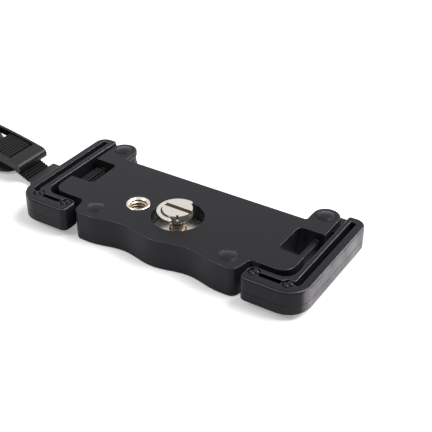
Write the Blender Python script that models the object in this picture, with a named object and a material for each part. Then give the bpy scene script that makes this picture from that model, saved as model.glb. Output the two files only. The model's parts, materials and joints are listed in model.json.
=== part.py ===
# Camera hand grip strap: a moulded base plate with a captive camera screw, two
# L-shaped strap arms, and an adjustable strap that leads to an arched hand pad.
# The plate lies camera side down, flat on the table, and the arms stand a little
# clear of it, so that the strap passes below the left one. Metres, +Z up, origin
# on the screw's axis at the camera face, +X along the plate away from the strap.
import math

import bmesh
import bpy
from mathutils import Matrix
from mathutils import Vector

MM = 0.001

# Fits
GAP = 0.3 * MM
RING_GAP = 0.4 * MM
PLUG_GAP = 0.25 * MM
PAST = 2.0 * MM
ARC_STEPS = 4
ROUND_STEPS = 28
SMALL_STEPS = 16
PIN_STEPS = 24
WIDE_STEPS = 36
BORE_STEPS = 12
TIP_STEPS = 6
RING_STEPS = 18
WAVE_STEPS = 14

# Base plate
PLATE_HEIGHT = 12.7 * MM
PLATE_BACK_Y = 24.65 * MM
PLATE_END_X = 53.8 * MM
PLATE_INSET_Y = -9.8 * MM
PLATE_INSET_X = 37.95 * MM
END_CORNER_R = 5.2 * MM
INSET_CORNER_R = 2.4 * MM
GRIP_FRONT_Y = -18.55 * MM
GRIP_DEPTH = 2.4 * MM
GRIP_PITCH = 29.9 * MM
GRIP_END_X = 36.35 * MM
GRIP_CORNER_R = 3.4 * MM
TOP_EDGE = 0.4 * MM
BOTTOM_EDGE = 0.4 * MM

# Ears that carry the arms' roots
EAR_X = 48.35 * MM
EAR_Y = 30.6 * MM
EAR_R = 5.5 * MM
EAR_ROOT_R = 0.8 * MM
EAR_LEAF_TOP = 2.0 * MM

# Strap windows and their cross bars
WINDOW_INNER_X = 43.0 * MM
WINDOW_FRONT_Y = 1.8 * MM
WINDOW_LENGTH = 16.8 * MM
WINDOW_CORNER_R = 2.2 * MM
BAR_INNER_X = 48.95 * MM
BAR_WIDTH = 2.8 * MM
BAR_TOP = 9.1 * MM
BAR_BOTTOM = 3.4 * MM
BAR_EDGE = 0.8 * MM

# Strap arms
ARM_GAP = 1.9 * MM
ARM_WIDTH = 8.15 * MM
ARM_BACK_Y = 35.6 * MM
ARM_BACK_R = 4.6 * MM
ARM_FRONT_Y = -20.8 * MM
ARM_FOOT_WIDTH = 8.65 * MM
ARM_FOOT_TIP_X = 39.4 * MM
ARM_OUTER_R = 9.0 * MM
ARM_INNER_R = 5.0 * MM
ARM_TIP_R = 2.5 * MM
ARM_HEEL_R = 1.3 * MM
ARM_EDGE = 1.0 * MM
ARM_BASE = 2.5 * MM
ARM_SPLIT = 6.3 * MM
ARM_COVER_INSET = 0.1 * MM
GROOVE_WIDTH = 2.55 * MM
GROOVE_OUTER_WALL = 3.25 * MM
GROOVE_BACK_WALL = 2.2 * MM
GROOVE_DEPTH = 4.5 * MM
GROOVE_TURN = math.radians(36)
FOOT_SLOT_X = 49.55 * MM
FOOT_SLOT_Y = -15.75 * MM
FOOT_SLOT_LENGTH = 8.7 * MM
FOOT_SLOT_WIDTH = 2.1 * MM
FOOT_SLOT_R = 0.6 * MM
ARM_SCREW_OUTER_X = 56.4 * MM
ARM_SCREW_INNER_X = 42.7 * MM
ARM_SCREW_Y = -15.3 * MM
ARM_SCREW_HEAD_R = 2.2 * MM
ARM_SCREW_HEAD_H = 1.3 * MM
ARM_SCREW_SINK = 0.9 * MM
ARM_SCREW_SHANK_R = 0.9 * MM
ARM_SCREW_END = 3.8 * MM
ARM_SCREW_SLOT = 0.7 * MM
ARM_SCREW_CROWN_R = 1.35 * MM
ARM_SCREW_CROWN_DROP = 0.3 * MM
ARM_SCREW_BROW_R = 2.0 * MM
ARM_SCREW_BROW_DROP = 0.8 * MM
ARM_SCREW_SLOT_DEPTH = 0.85 * MM

# Domed pins and plugs
DOME_R = 3.5 * MM
DOME_RISE = 0.8 * MM
EAR_PIN_SHANK_R = 1.9 * MM
EAR_PIN_SINK = 0.8 * MM
EAR_PIN_END = 3.0 * MM
PLUG_X = 30.2 * MM
PLUG_Y = -11.95 * MM
PLUG_SINK = 0.1 * MM
PLUG_HEAD_H = 0.9 * MM
PLUG_STEM_R = 1.6 * MM
PLUG_STEM_LENGTH = 5.0 * MM

# Tripod thread insert
INSERT_X = -18.1 * MM
INSERT_Y = -0.75 * MM
INSERT_FLANGE_R = 4.8 * MM
INSERT_FLANGE_H = 0.9 * MM
INSERT_BARREL_R = 4.1 * MM
INSERT_THREAD_R = 3.15 * MM
INSERT_MOUTH = 0.6 * MM
INSERT_LENGTH = 8.0 * MM

# Counterbore and its tapped disc
COUNTERBORE_R = 10.5 * MM
DISC_TOP = 6.9 * MM
DISC_THICKNESS = 1.2 * MM
SCREW_RELIEF_R = 4.2 * MM

# Friction pad on the camera face
FACE_PAD_HALF_X = 40.5 * MM
FACE_PAD_FRONT_Y = -7.6 * MM
FACE_PAD_BACK_Y = 21.6 * MM
FACE_PAD_R = 4.0 * MM
FACE_PAD_THICKNESS = 0.9 * MM

# Camera screw, its washer and its D-ring
SCREW_HEAD_R = 5.95 * MM
SCREW_HEAD_TOP = 16.4 * MM
SCREW_HEAD_H = 3.5 * MM
SCREW_HEAD_EDGE = 0.35 * MM
SCREW_THREAD_R = 3.05 * MM
SCREW_TIP_CHAMFER = 0.5 * MM
SCREW_SLOT_WIDTH = 1.9 * MM
SCREW_SLOT_DEPTH = 1.4 * MM
WASHER_R = 4.4 * MM
WASHER_THICKNESS = 0.5 * MM
RING_WIDTH = 1.8 * MM
RING_THICKNESS = 1.6 * MM
RING_DROP = 0.8 * MM
RING_TAIL = 2.1 * MM
RING_EDGE = 0.4 * MM
RING_PIN_R = 0.7 * MM
RING_PIN_DEPTH = 1.3 * MM

# Webbing, keeper and slider
WEB_WIDTH = 14.3 * MM
WEB_THICKNESS = 0.9 * MM
WEB_Y = 9.25 * MM
WEB_BEND_R = 1.3 * MM
WEB_END_SHORT = 3.0 * MM
WEB_LIFT_INSET = 0.8 * MM
WEB_LIFT_BEND_R = 6.0 * MM
WEB_KEEPER_OVERRUN = 1.4 * MM
WEB_TAIL_LENGTH = 8.0 * MM
KEEPER_OFFSET = 1.5 * MM
KEEPER_LENGTH = 12.0 * MM
KEEPER_WALL = 0.5 * MM
KEEPER_SIDE_WALL = 0.6 * MM
KEEPER_SLOPE = math.radians(1)
KEEPER_EDGE = 0.35 * MM
SLIDER_OFFSET = 3.75 * MM
SLIDER_Z = 9.2 * MM
SLIDER_SLOPE = math.radians(9.5)
SLIDER_LENGTH = 33.0 * MM
SLIDER_RAIL = 1.3 * MM
SLIDER_RAIL_HEIGHT = 3.2 * MM
SLIDER_END_BAR = 6.5 * MM
SLIDER_END_DROP = 3.7 * MM
SLIDER_END_R = 2.4 * MM
SLIDER_SKIN = 2.0 * MM
SLIDER_THREADING_GAP = 3.2 * MM
SLIDER_MIDDLE_BAR = 9.7 * MM
SLIDER_MIDDLE_DROP = 1.5 * MM
SLIDER_BOW = 0.5 * MM
SLIDER_BOW_STEP = 5.5 * MM
SLIDER_LIP = 1.6 * MM
SLIDER_LIP_TAPER = 0.8 * MM
SLIDER_LIP_R = 0.5 * MM
SLIDER_BAR_R = 0.5 * MM
SLIDER_LACE_BEND_R = 1.2 * MM
SLIDER_LACE_SETBACK = 0.9 * MM
SLIDER_LACE_DIP = 5.2 * MM
SLIDER_LACE_DIP_R = 3.0 * MM

# Hand pad
PAD_TIP_SETBACK = 7.0 * MM
PAD_LENGTH = 112.0 * MM
PAD_TIP_HALF_WIDTH = 8.0 * MM
PAD_HALF_WIDTH = 26.0 * MM
PAD_THICKNESS = 6.0 * MM
PAD_EDGE_THICKNESS = 3.0 * MM
PAD_TIP_BLUNT = 0.02 * MM
PAD_ROUND_SHARE = 0.25
PAD_CROWN_SHARE = 0.6
PAD_ARCH = 9.0 * MM
PAD_STATIONS = 20

# Anchor loop that ties the slider to the pad
ANCHOR_SEAM_START = 0.23
ANCHOR_SEAM_END = 0.36
ANCHOR_LIE_R = 8.0 * MM
ANCHOR_BAR_BEND_R = 1.2 * MM
ANCHOR_BAR_DROP = 0.9 * MM
ANCHOR_NOSE = 1.6 * MM
ANCHOR_NOSE_DROP = 2.7 * MM
ANCHOR_TOP_R = 3.0 * MM

# Camera loop at the far end of the pad
LOOP_WIDTH = 10.0 * MM
LOOP_LENGTH = 38.0 * MM
LOOP_END_R = 2.2 * MM
LOOP_END_BLUNT = 0.03 * MM
LOOP_SEAM = 0.90
LOOP_LIP = 0.985
LOOP_LIP_LIFT = 0.75 * MM
LOOP_LIP_R = 4.0 * MM
LOOP_TOUCHDOWN = 9.0 * MM
LOOP_TOUCHDOWN_R = 5.0 * MM
LOOP_FLAT = 4.0 * MM
LOOP_BELLY = 20.0 * MM
LOOP_BELLY_R = 12.0 * MM

# Sizes that follow from the ones above
ARM_INNER_X = PLATE_END_X + ARM_GAP
ARM_OUTER_X = ARM_INNER_X + ARM_WIDTH
ARM_FOOT_INNER_Y = ARM_FRONT_Y + ARM_FOOT_WIDTH
WINDOW_BACK_Y = WINDOW_FRONT_Y + WINDOW_LENGTH
BAR_OUTER_X = BAR_INNER_X + BAR_WIDTH
EAR_SLOT_TOP = PLATE_HEIGHT - EAR_LEAF_TOP
EAR_SLOT_Y = PLATE_BACK_Y + GAP
SCREW_HEAD_BASE = SCREW_HEAD_TOP - SCREW_HEAD_H
RING_TOP = SCREW_HEAD_TOP - RING_DROP
RING_PIVOT_Z = RING_TOP - RING_THICKNESS / 2
RING_INNER_R = SCREW_HEAD_R + RING_GAP
WEB_PITCH = WEB_THICKNESS + GAP
WEB_LOWER_Z = WEB_THICKNESS / 2
WEB_UPPER_Z = WEB_LOWER_Z + WEB_PITCH
KEEPER_HEIGHT = 2 * WEB_THICKNESS + 3 * GAP + 2 * KEEPER_WALL
KEEPER_START_X = -ARM_OUTER_X - KEEPER_OFFSET
KEEPER_END_X = KEEPER_START_X - KEEPER_LENGTH
KEEPER_LOWER_Z = KEEPER_WALL + GAP + WEB_THICKNESS / 2
KEEPER_UPPER_Z = KEEPER_LOWER_Z + WEB_PITCH
SLIDER_X = KEEPER_END_X - SLIDER_OFFSET
SLIDER_WIDTH = WEB_WIDTH + 2 * GAP + 2 * SLIDER_RAIL
PAD_TIP_X = SLIDER_X - PAD_TIP_SETBACK


def clear_scene():
    for thing in list(bpy.data.objects):
        bpy.data.objects.remove(thing, do_unlink=True)


def material(name, colour, roughness, metallic=0.0):
    made = bpy.data.materials.new(name)
    made.use_nodes = True
    shader = made.node_tree.nodes["Principled BSDF"]
    shader.inputs["Base Color"].default_value = (*colour, 1.0)
    shader.inputs["Roughness"].default_value = roughness
    shader.inputs["Metallic"].default_value = metallic
    made.diffuse_color = (*colour, 1.0)
    return made


def arc(centre, radius, start, end, steps):
    """Points on an arc, both ends included."""
    points = []
    for step in range(steps + 1):
        angle = start + (end - start) * step / steps
        points.append((centre[0] + radius * math.cos(angle), centre[1] + radius * math.sin(angle)))
    return points


def corner_arc(before, corner, after, radius, steps=ARC_STEPS):
    """The arc that rounds one corner of an outline."""
    here = Vector(corner)
    back = (Vector(before) - here).normalized()
    ahead = (Vector(after) - here).normalized()
    half = back.angle(ahead) / 2
    if radius <= 0 or half > math.radians(89.5):
        return [tuple(here)]
    centre = here + (back + ahead).normalized() * radius / math.sin(half)
    first = here + back * radius / math.tan(half)
    last = here + ahead * radius / math.tan(half)
    start = math.atan2(first.y - centre.y, first.x - centre.x)
    end = math.atan2(last.y - centre.y, last.x - centre.x)
    turn = (end - start + math.pi) % (2 * math.pi) - math.pi
    return arc(tuple(centre), radius, start, start + turn, steps)


def rounded(corners, closed=True, steps=ARC_STEPS):
    """An outline or a path from corners given as (x, y, radius)."""
    count = len(corners)
    points = []
    for index, (x, y, radius) in enumerate(corners):
        if not closed and index in (0, count - 1):
            points.append((x, y))
            continue
        before = corners[index - 1][:2]
        after = corners[(index + 1) % count][:2]
        points.extend(corner_arc(before, (x, y), after, radius, steps))
    return points


def rectangle(x0, y0, x1, y1, radius):
    return rounded([(x0, y0, radius), (x1, y0, radius), (x1, y1, radius), (x0, y1, radius)])


def mirrored(points, side):
    """The same outline on the right (side 1) or on the left (side -1)."""
    return [(side * x, y) for x, y in points]


def finish(bm, name, finish_material, smooth_angle=35):
    """Write a bmesh to a new object with its material and its smooth faces."""
    bmesh.ops.remove_doubles(bm, verts=bm.verts, dist=0.001 * MM)
    bmesh.ops.recalc_face_normals(bm, faces=bm.faces)
    mesh = bpy.data.meshes.new(name)
    bm.to_mesh(mesh)
    bm.free()
    mesh.shade_smooth()
    mesh.set_sharp_from_angle(angle=math.radians(smooth_angle))
    if finish_material:
        mesh.materials.append(finish_material)
    made = bpy.data.objects.new(name, mesh)
    bpy.context.scene.collection.objects.link(made)
    return made


def prism_mesh(outline, low, high, top_edge=0.0, bottom_edge=0.0, segments=2, low_segments=1):
    """An upright slab of an outline, with its rims rounded over."""
    bm = bmesh.new()
    base = [bm.verts.new((x, y, low)) for x, y in outline]
    face = bm.faces.new(base)
    lifted = bmesh.ops.extrude_face_region(bm, geom=[face])
    top = [item for item in lifted["geom"] if isinstance(item, bmesh.types.BMVert)]
    bmesh.ops.translate(bm, verts=top, vec=(0, 0, high - low))
    bmesh.ops.recalc_face_normals(bm, faces=bm.faces)
    for height, width, count in ((high, top_edge, segments), (low, bottom_edge, low_segments)):
        if width <= 0:
            continue
        rim = [edge for edge in bm.edges if all(abs(v.co.z - height) < 1e-7 for v in edge.verts)]
        bmesh.ops.bevel(bm, geom=rim, offset=width, offset_type="OFFSET", segments=count,
                        profile=0.5, affect="EDGES", material=-1)
    return bm


def prism(name, outline, low, high, finish_material=None, **edges):
    return finish(prism_mesh(outline, low, high, **edges), name, finish_material)


def lathe(name, profile, centre, finish_material=None, steps=ROUND_STEPS):
    """A turned piece from (radius, height) points, about an upright axis."""
    bm = bmesh.new()
    points = [bm.verts.new((radius, 0, height)) for radius, height in profile]
    edges = [bm.edges.new(pair) for pair in zip(points, points[1:])]
    if profile[0][0] > 0 or profile[-1][0] > 0:
        edges.append(bm.edges.new((points[-1], points[0])))
    bmesh.ops.spin(bm, geom=points + edges, cent=(0, 0, 0), axis=(0, 0, 1), dvec=(0, 0, 0),
                   angle=2 * math.pi, steps=steps, use_merge=True, use_duplicate=False)
    made = finish(bm, name, finish_material)
    made.location = (centre[0], centre[1], 0)
    return made


def ribbon_outline(path, thickness):
    """The outline of a band of even thickness along an open path."""
    left = []
    right = []
    for index, point in enumerate(path):
        here = Vector(point)
        before = Vector(path[max(index - 1, 0)])
        after = Vector(path[min(index + 1, len(path) - 1)])
        back = (here - before).normalized() if index else (after - here).normalized()
        ahead = (after - here).normalized() if index < len(path) - 1 else back
        along = (back + ahead).normalized()
        reach = thickness / 2 / max(along.dot(ahead), 0.3)
        across = Vector((-along.y, along.x)) * reach
        left.append(tuple(here + across))
        right.append(tuple(here - across))
    return left + right[::-1]


def side_slab(name, outline, y_low, y_high, finish_material=None, edge=0.0):
    """A slab whose outline lies in X and Z and whose thickness runs along Y."""
    bm = prism_mesh(outline, y_low, y_high, top_edge=edge, bottom_edge=edge, segments=1)
    for vertex in bm.verts:
        x, z, y = vertex.co
        vertex.co = (x, y, z)
    return finish(bm, name, finish_material)


def boolean(target, tool, operation):
    """Cut or join with a live Boolean; the tool stays as a hidden guide."""
    tool.hide_render = True
    tool.display_type = "WIRE"
    step = target.modifiers.new(operation.title(), "BOOLEAN")
    step.operation = operation
    step.solver = "EXACT"
    step.object = tool


def cut(target, *tools):
    for tool in tools:
        boolean(target, tool, "DIFFERENCE")


def join(target, *tools):
    for tool in tools:
        boolean(target, tool, "UNION")


def dome_profile(radius, rise, base, depth, stem_r, stem_end):
    """A domed head on a plain stem, as (radius, height) from the crown down."""
    crown = []
    bend = (radius ** 2 + rise ** 2) / (2 * rise)
    sweep = math.asin(radius / bend)
    for step in range(ARC_STEPS + 1):
        angle = sweep * step / ARC_STEPS
        crown.append((bend * math.sin(angle), base + rise - bend * (1 - math.cos(angle))))
    return crown + [(radius, base - depth), (stem_r, base - depth), (stem_r, stem_end), (0, stem_end)]


def plate_outline():
    """Plan of the plate: wavy finger grip in front, an ear at each back corner."""
    half = []
    for step in range(WAVE_STEPS + 1):
        x = GRIP_PITCH * step / WAVE_STEPS
        swell = (1 + math.cos(2 * math.pi * x / GRIP_PITCH)) / 2
        half.append((x, GRIP_FRONT_Y + GRIP_DEPTH * (1 - swell)))
    last = half[-1]
    grip_corner = (GRIP_END_X, GRIP_FRONT_Y)
    inset_corner = (PLATE_INSET_X, PLATE_INSET_Y)
    end_corner = (PLATE_END_X, PLATE_INSET_Y)
    ear_root = (EAR_X - EAR_R, PLATE_BACK_Y)
    half += corner_arc(last, grip_corner, inset_corner, GRIP_CORNER_R)
    half += corner_arc(grip_corner, inset_corner, end_corner, INSET_CORNER_R)
    half += corner_arc(inset_corner, end_corner, (PLATE_END_X, EAR_Y), END_CORNER_R, 5)
    half += arc((EAR_X, EAR_Y), EAR_R, 0, math.pi, BORE_STEPS)
    half += corner_arc((ear_root[0], EAR_Y), ear_root, (0, PLATE_BACK_Y), EAR_ROOT_R, 3)
    left = [(-x, y) for x, y in half if x > 0]
    return half + left[::-1]


def base_plate(plastic):
    plate = prism("base_plate", plate_outline(), 0, PLATE_HEIGHT, plastic,
                  top_edge=TOP_EDGE, bottom_edge=BOTTOM_EDGE)
    for side in (1, -1):
        tag = "right" if side > 0 else "left"
        window = rectangle(WINDOW_INNER_X, WINDOW_FRONT_Y, PLATE_END_X + 3 * WINDOW_CORNER_R,
                           WINDOW_BACK_Y, WINDOW_CORNER_R)
        cut(plate, prism("window_cutter_" + tag, mirrored(window, side), -PAST, PLATE_HEIGHT + PAST))
        ear_slot = rectangle(EAR_X - EAR_R - PAST, EAR_SLOT_Y, PLATE_END_X + PAST, EAR_Y + EAR_R + PAST, 0)
        cut(plate, prism("ear_slot_cutter_" + tag, mirrored(ear_slot, side), ARM_SPLIT, EAR_SLOT_TOP))
        pin = (side * EAR_X, EAR_Y)
        ear_bore = [(0, PLATE_HEIGHT + PAST), (DOME_R + RING_GAP, PLATE_HEIGHT + PAST),
                    (DOME_R + RING_GAP, PLATE_HEIGHT - EAR_PIN_SINK - GAP),
                    (EAR_PIN_SHANK_R + GAP, PLATE_HEIGHT - EAR_PIN_SINK - GAP),
                    (EAR_PIN_SHANK_R + GAP, EAR_PIN_END - GAP), (0, EAR_PIN_END - GAP)]
        cut(plate, lathe("ear_bore_cutter_" + tag, ear_bore, pin, steps=PIN_STEPS))
        plug_floor = PLATE_HEIGHT - PLUG_SINK - PLUG_HEAD_H - GAP
        plug_bore = [(0, PLATE_HEIGHT + PAST), (DOME_R + PLUG_GAP, PLATE_HEIGHT + PAST),
                     (DOME_R + PLUG_GAP, plug_floor), (PLUG_STEM_R + GAP, plug_floor),
                     (PLUG_STEM_R + GAP, plug_floor - PLUG_STEM_LENGTH), (0, plug_floor - PLUG_STEM_LENGTH)]
        cut(plate, lathe("plug_bore_cutter_" + tag, plug_bore, (side * PLUG_X, PLUG_Y), steps=PIN_STEPS))
    insert_low = PLATE_HEIGHT - INSERT_LENGTH - GAP
    insert_bore = [(0, PLATE_HEIGHT + PAST), (INSERT_FLANGE_R + GAP, PLATE_HEIGHT + PAST),
                   (INSERT_FLANGE_R + GAP, PLATE_HEIGHT - INSERT_FLANGE_H - GAP),
                   (INSERT_BARREL_R + GAP, PLATE_HEIGHT - INSERT_FLANGE_H - GAP),
                   (INSERT_BARREL_R + GAP, insert_low), (0, insert_low)]
    cut(plate, lathe("insert_bore_cutter", insert_bore, (INSERT_X, INSERT_Y)))
    screw_bore = [(0, PLATE_HEIGHT + PAST), (COUNTERBORE_R, PLATE_HEIGHT + PAST),
                  (COUNTERBORE_R, DISC_TOP - DISC_THICKNESS - GAP),
                  (SCREW_RELIEF_R, DISC_TOP - DISC_THICKNESS - GAP), (SCREW_RELIEF_R, -PAST), (0, -PAST)]
    cut(plate, lathe("screw_bore_cutter", screw_bore, (0, 0), steps=WIDE_STEPS))
    recess = rectangle(-FACE_PAD_HALF_X - GAP, FACE_PAD_FRONT_Y - GAP,
                       FACE_PAD_HALF_X + GAP, FACE_PAD_BACK_Y + GAP, FACE_PAD_R)
    cut(plate, prism("face_pad_recess_cutter", recess, -PAST, FACE_PAD_THICKNESS + GAP))
    for side in (1, -1):
        tag = "right" if side > 0 else "left"
        section = rectangle(BAR_INNER_X, BAR_BOTTOM, BAR_OUTER_X, BAR_TOP, BAR_EDGE)
        join(plate, side_slab("cross_bar_" + tag, mirrored(section, side),
                              WINDOW_FRONT_Y - PAST / 2, WINDOW_BACK_Y + PAST / 2))
    return plate


def face_pad(rubber):
    outline = rectangle(-FACE_PAD_HALF_X, FACE_PAD_FRONT_Y, FACE_PAD_HALF_X, FACE_PAD_BACK_Y, FACE_PAD_R)
    pad = prism("camera_face_pad", outline, 0, FACE_PAD_THICKNESS, rubber)
    hole = [(0, PAST), (SCREW_RELIEF_R + GAP, PAST), (SCREW_RELIEF_R + GAP, -PAST), (0, -PAST)]
    cut(pad, lathe("face_pad_hole_cutter", hole, (0, 0)))
    return pad


def arm_outline(inset=0.0):
    """Plan of an L-shaped arm: a long leg beside the plate and a foot in front of it."""
    outer_x = ARM_OUTER_X - inset
    front_y = ARM_FRONT_Y + inset
    back_y = ARM_BACK_Y - inset
    inner_x = ARM_INNER_X + inset
    foot_y = ARM_FOOT_INNER_Y - inset
    tip_x = ARM_FOOT_TIP_X + inset
    corners = [(tip_x, front_y, ARM_TIP_R), (outer_x, front_y, ARM_OUTER_R), (outer_x, back_y, ARM_BACK_R),
               (inner_x, back_y, ARM_HEEL_R), (inner_x, foot_y, ARM_INNER_R), (tip_x, foot_y, ARM_TIP_R)]
    return rounded(corners, steps=5)


def groove_outline():
    """The long groove in the arm's top, which follows the arm round its outer corner."""
    half = GROOVE_WIDTH / 2
    middle_x = ARM_OUTER_X - GROOVE_OUTER_WALL - half
    turn_centre = (ARM_OUTER_X - ARM_OUTER_R, ARM_FRONT_Y + ARM_OUTER_R)
    turn_r = middle_x - turn_centre[0]
    back_y = ARM_BACK_Y - GROOVE_BACK_WALL - half
    path = [(middle_x, back_y)] + arc(turn_centre, turn_r, 0, -GROOVE_TURN, 5)
    return ribbon_outline(path, GROOVE_WIDTH)


def arm_screw_places(side):
    return [("outer", (side * ARM_SCREW_OUTER_X, ARM_SCREW_Y)),
            ("inner", (side * ARM_SCREW_INNER_X, ARM_SCREW_Y))]


def arm_frame(side, tag, plastic):
    """Upper half of an arm, with the root tongue that sits in the plate's ear."""
    frame = prism("strap_arm_" + tag, mirrored(arm_outline(), side), ARM_SPLIT + GAP, PLATE_HEIGHT, plastic,
                  top_edge=ARM_EDGE, segments=2)
    tongue = rounded([(EAR_X - EAR_R + GAP, EAR_SLOT_Y + GAP, 0), (ARM_INNER_X + PAST, EAR_SLOT_Y + GAP, 0),
                      (ARM_INNER_X + PAST, EAR_Y + EAR_R - GAP, 0),
                      (EAR_X - EAR_R + GAP, EAR_Y + EAR_R - GAP, EAR_R - GAP)])
    join(frame, prism("arm_tongue_" + tag, mirrored(tongue, side), ARM_SPLIT + GAP, EAR_SLOT_TOP - GAP))
    floor = PLATE_HEIGHT - GROOVE_DEPTH
    cut(frame, prism("arm_groove_cutter_" + tag, mirrored(groove_outline(), side), floor, PLATE_HEIGHT + PAST))
    slot = rectangle(FOOT_SLOT_X - FOOT_SLOT_LENGTH / 2, FOOT_SLOT_Y - FOOT_SLOT_WIDTH / 2,
                     FOOT_SLOT_X + FOOT_SLOT_LENGTH / 2, FOOT_SLOT_Y + FOOT_SLOT_WIDTH / 2, FOOT_SLOT_R)
    cut(frame, prism("foot_slot_cutter_" + tag, mirrored(slot, side), floor, PLATE_HEIGHT + PAST))
    pin_bore = [(0, PLATE_HEIGHT + PAST), (EAR_PIN_SHANK_R + GAP, PLATE_HEIGHT + PAST),
                (EAR_PIN_SHANK_R + GAP, 0), (0, 0)]
    cut(frame, lathe("tongue_bore_cutter_" + tag, pin_bore, (side * EAR_X, EAR_Y), steps=SMALL_STEPS))
    seat = PLATE_HEIGHT - ARM_SCREW_SINK - GAP
    for name, place in arm_screw_places(side):
        bore = [(0, PLATE_HEIGHT + PAST), (ARM_SCREW_HEAD_R + PLUG_GAP, PLATE_HEIGHT + PAST),
                (ARM_SCREW_HEAD_R + PLUG_GAP, seat), (ARM_SCREW_SHANK_R + GAP, seat),
                (ARM_SCREW_SHANK_R + GAP, 0), (0, 0)]
        cut(frame, lathe("arm_screw_bore_cutter_" + name + "_" + tag, bore, place, steps=SMALL_STEPS))
    return frame


def arm_cover(side, tag, plastic):
    """Lower half of an arm, drawn up against the upper half by the arm screws."""
    outline = mirrored(arm_outline(ARM_COVER_INSET), side)
    cover = prism("arm_cover_" + tag, outline, ARM_BASE, ARM_SPLIT, plastic, bottom_edge=BOTTOM_EDGE)
    for name, place in arm_screw_places(side):
        bore = [(0, ARM_SPLIT + PAST), (ARM_SCREW_SHANK_R + GAP, ARM_SPLIT + PAST),
                (ARM_SCREW_SHANK_R + GAP, ARM_SCREW_END - GAP), (0, ARM_SCREW_END - GAP)]
        cut(cover, lathe("cover_bore_cutter_" + name + "_" + tag, bore, place, steps=SMALL_STEPS))
    return cover


def arm_screw(name, place, plastic):
    """A small domed screw whose slot splits its head into two lobes."""
    base = PLATE_HEIGHT - ARM_SCREW_SINK
    crown = base + ARM_SCREW_HEAD_H
    profile = [(0, crown), (ARM_SCREW_CROWN_R, crown - ARM_SCREW_CROWN_DROP),
               (ARM_SCREW_BROW_R, crown - ARM_SCREW_BROW_DROP), (ARM_SCREW_HEAD_R, base),
               (ARM_SCREW_SHANK_R, base), (ARM_SCREW_SHANK_R, ARM_SCREW_END), (0, ARM_SCREW_END)]
    screw = lathe(name, profile, place, plastic, steps=SMALL_STEPS)
    slot = rectangle(place[0] - ARM_SCREW_SLOT / 2, place[1] - ARM_SCREW_HEAD_R - PAST,
                     place[0] + ARM_SCREW_SLOT / 2, place[1] + ARM_SCREW_HEAD_R + PAST, 0)
    cut(screw, prism(name + "_slot_cutter", slot, crown - ARM_SCREW_SLOT_DEPTH, crown + PAST))
    return screw


def ear_pin(side, tag, plastic):
    """Domed pin that holds an arm's root tongue in the plate's ear."""
    profile = dome_profile(DOME_R, DOME_RISE, PLATE_HEIGHT, EAR_PIN_SINK, EAR_PIN_SHANK_R, EAR_PIN_END)
    return lathe("ear_pin_" + tag, profile, (side * EAR_X, EAR_Y), plastic, steps=PIN_STEPS)


def plug(side, tag, plastic):
    base = PLATE_HEIGHT - PLUG_SINK
    stem_end = base - PLUG_HEAD_H - PLUG_STEM_LENGTH + GAP
    profile = dome_profile(DOME_R, DOME_RISE, base, PLUG_HEAD_H, PLUG_STEM_R, stem_end)
    return lathe("cover_plug_" + tag, profile, (side * PLUG_X, PLUG_Y), plastic, steps=PIN_STEPS)


def thread_insert(metal):
    """Flanged tripod bush, open at both ends, with a flared mouth."""
    top = PLATE_HEIGHT
    base = PLATE_HEIGHT - INSERT_LENGTH
    profile = [(INSERT_THREAD_R, base), (INSERT_THREAD_R, top - INSERT_MOUTH),
               (INSERT_THREAD_R + INSERT_MOUTH, top),
               (INSERT_FLANGE_R, top), (INSERT_FLANGE_R, top - INSERT_FLANGE_H),
               (INSERT_BARREL_R, top - INSERT_FLANGE_H), (INSERT_BARREL_R, base)]
    return lathe("tripod_thread_insert", profile, (INSERT_X, INSERT_Y), metal)


def tapped_disc(metal):
    """Disc at the bottom of the counterbore, tapped for the camera screw."""
    low = DISC_TOP - DISC_THICKNESS
    hole = SCREW_THREAD_R + GAP
    profile = [(hole, low), (hole, DISC_TOP), (COUNTERBORE_R - GAP, DISC_TOP), (COUNTERBORE_R - GAP, low)]
    return lathe("tapped_disc", profile, (0, 0), metal, steps=WIDE_STEPS)


def thrust_washer(nylon):
    high = SCREW_HEAD_BASE - GAP
    low = high - WASHER_THICKNESS
    hole = SCREW_THREAD_R + GAP
    profile = [(hole, low), (hole, high), (WASHER_R, high), (WASHER_R, low)]
    return lathe("thrust_washer", profile, (0, 0), nylon)


def camera_screw(metal, pivot):
    """Slotted camera screw with a pivot hole on each side of its head."""
    edge = SCREW_HEAD_EDGE
    profile = [(0, SCREW_HEAD_TOP), (SCREW_HEAD_R - edge, SCREW_HEAD_TOP), (SCREW_HEAD_R, SCREW_HEAD_TOP - edge),
               (SCREW_HEAD_R, SCREW_HEAD_BASE + edge), (SCREW_HEAD_R - edge, SCREW_HEAD_BASE),
               (SCREW_THREAD_R, SCREW_HEAD_BASE),
               (SCREW_THREAD_R, SCREW_TIP_CHAMFER), (SCREW_THREAD_R - SCREW_TIP_CHAMFER, 0), (0, 0)]
    screw = lathe("camera_screw", profile, (0, 0), metal, steps=WIDE_STEPS)
    slot = rectangle(-SCREW_HEAD_R - PAST, -SCREW_SLOT_WIDTH / 2, SCREW_HEAD_R + PAST, SCREW_SLOT_WIDTH / 2, 0)
    cut(screw, prism("screw_slot_cutter", slot, SCREW_HEAD_TOP - SCREW_SLOT_DEPTH, SCREW_HEAD_TOP + PAST))
    reach = RING_PIN_DEPTH + GAP
    for side in (1, -1):
        bore = arc((0, RING_PIVOT_Z), RING_PIN_R + GAP, 0, 2 * math.pi, BORE_STEPS)[:-1]
        near = side * (SCREW_HEAD_R - reach)
        far = side * (SCREW_HEAD_R + PAST)
        tag = "back" if side > 0 else "front"
        cut(screw, side_slab("ring_bore_cutter_" + tag, bore, min(near, far), max(near, far)))
    screw.parent = pivot
    return screw


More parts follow.
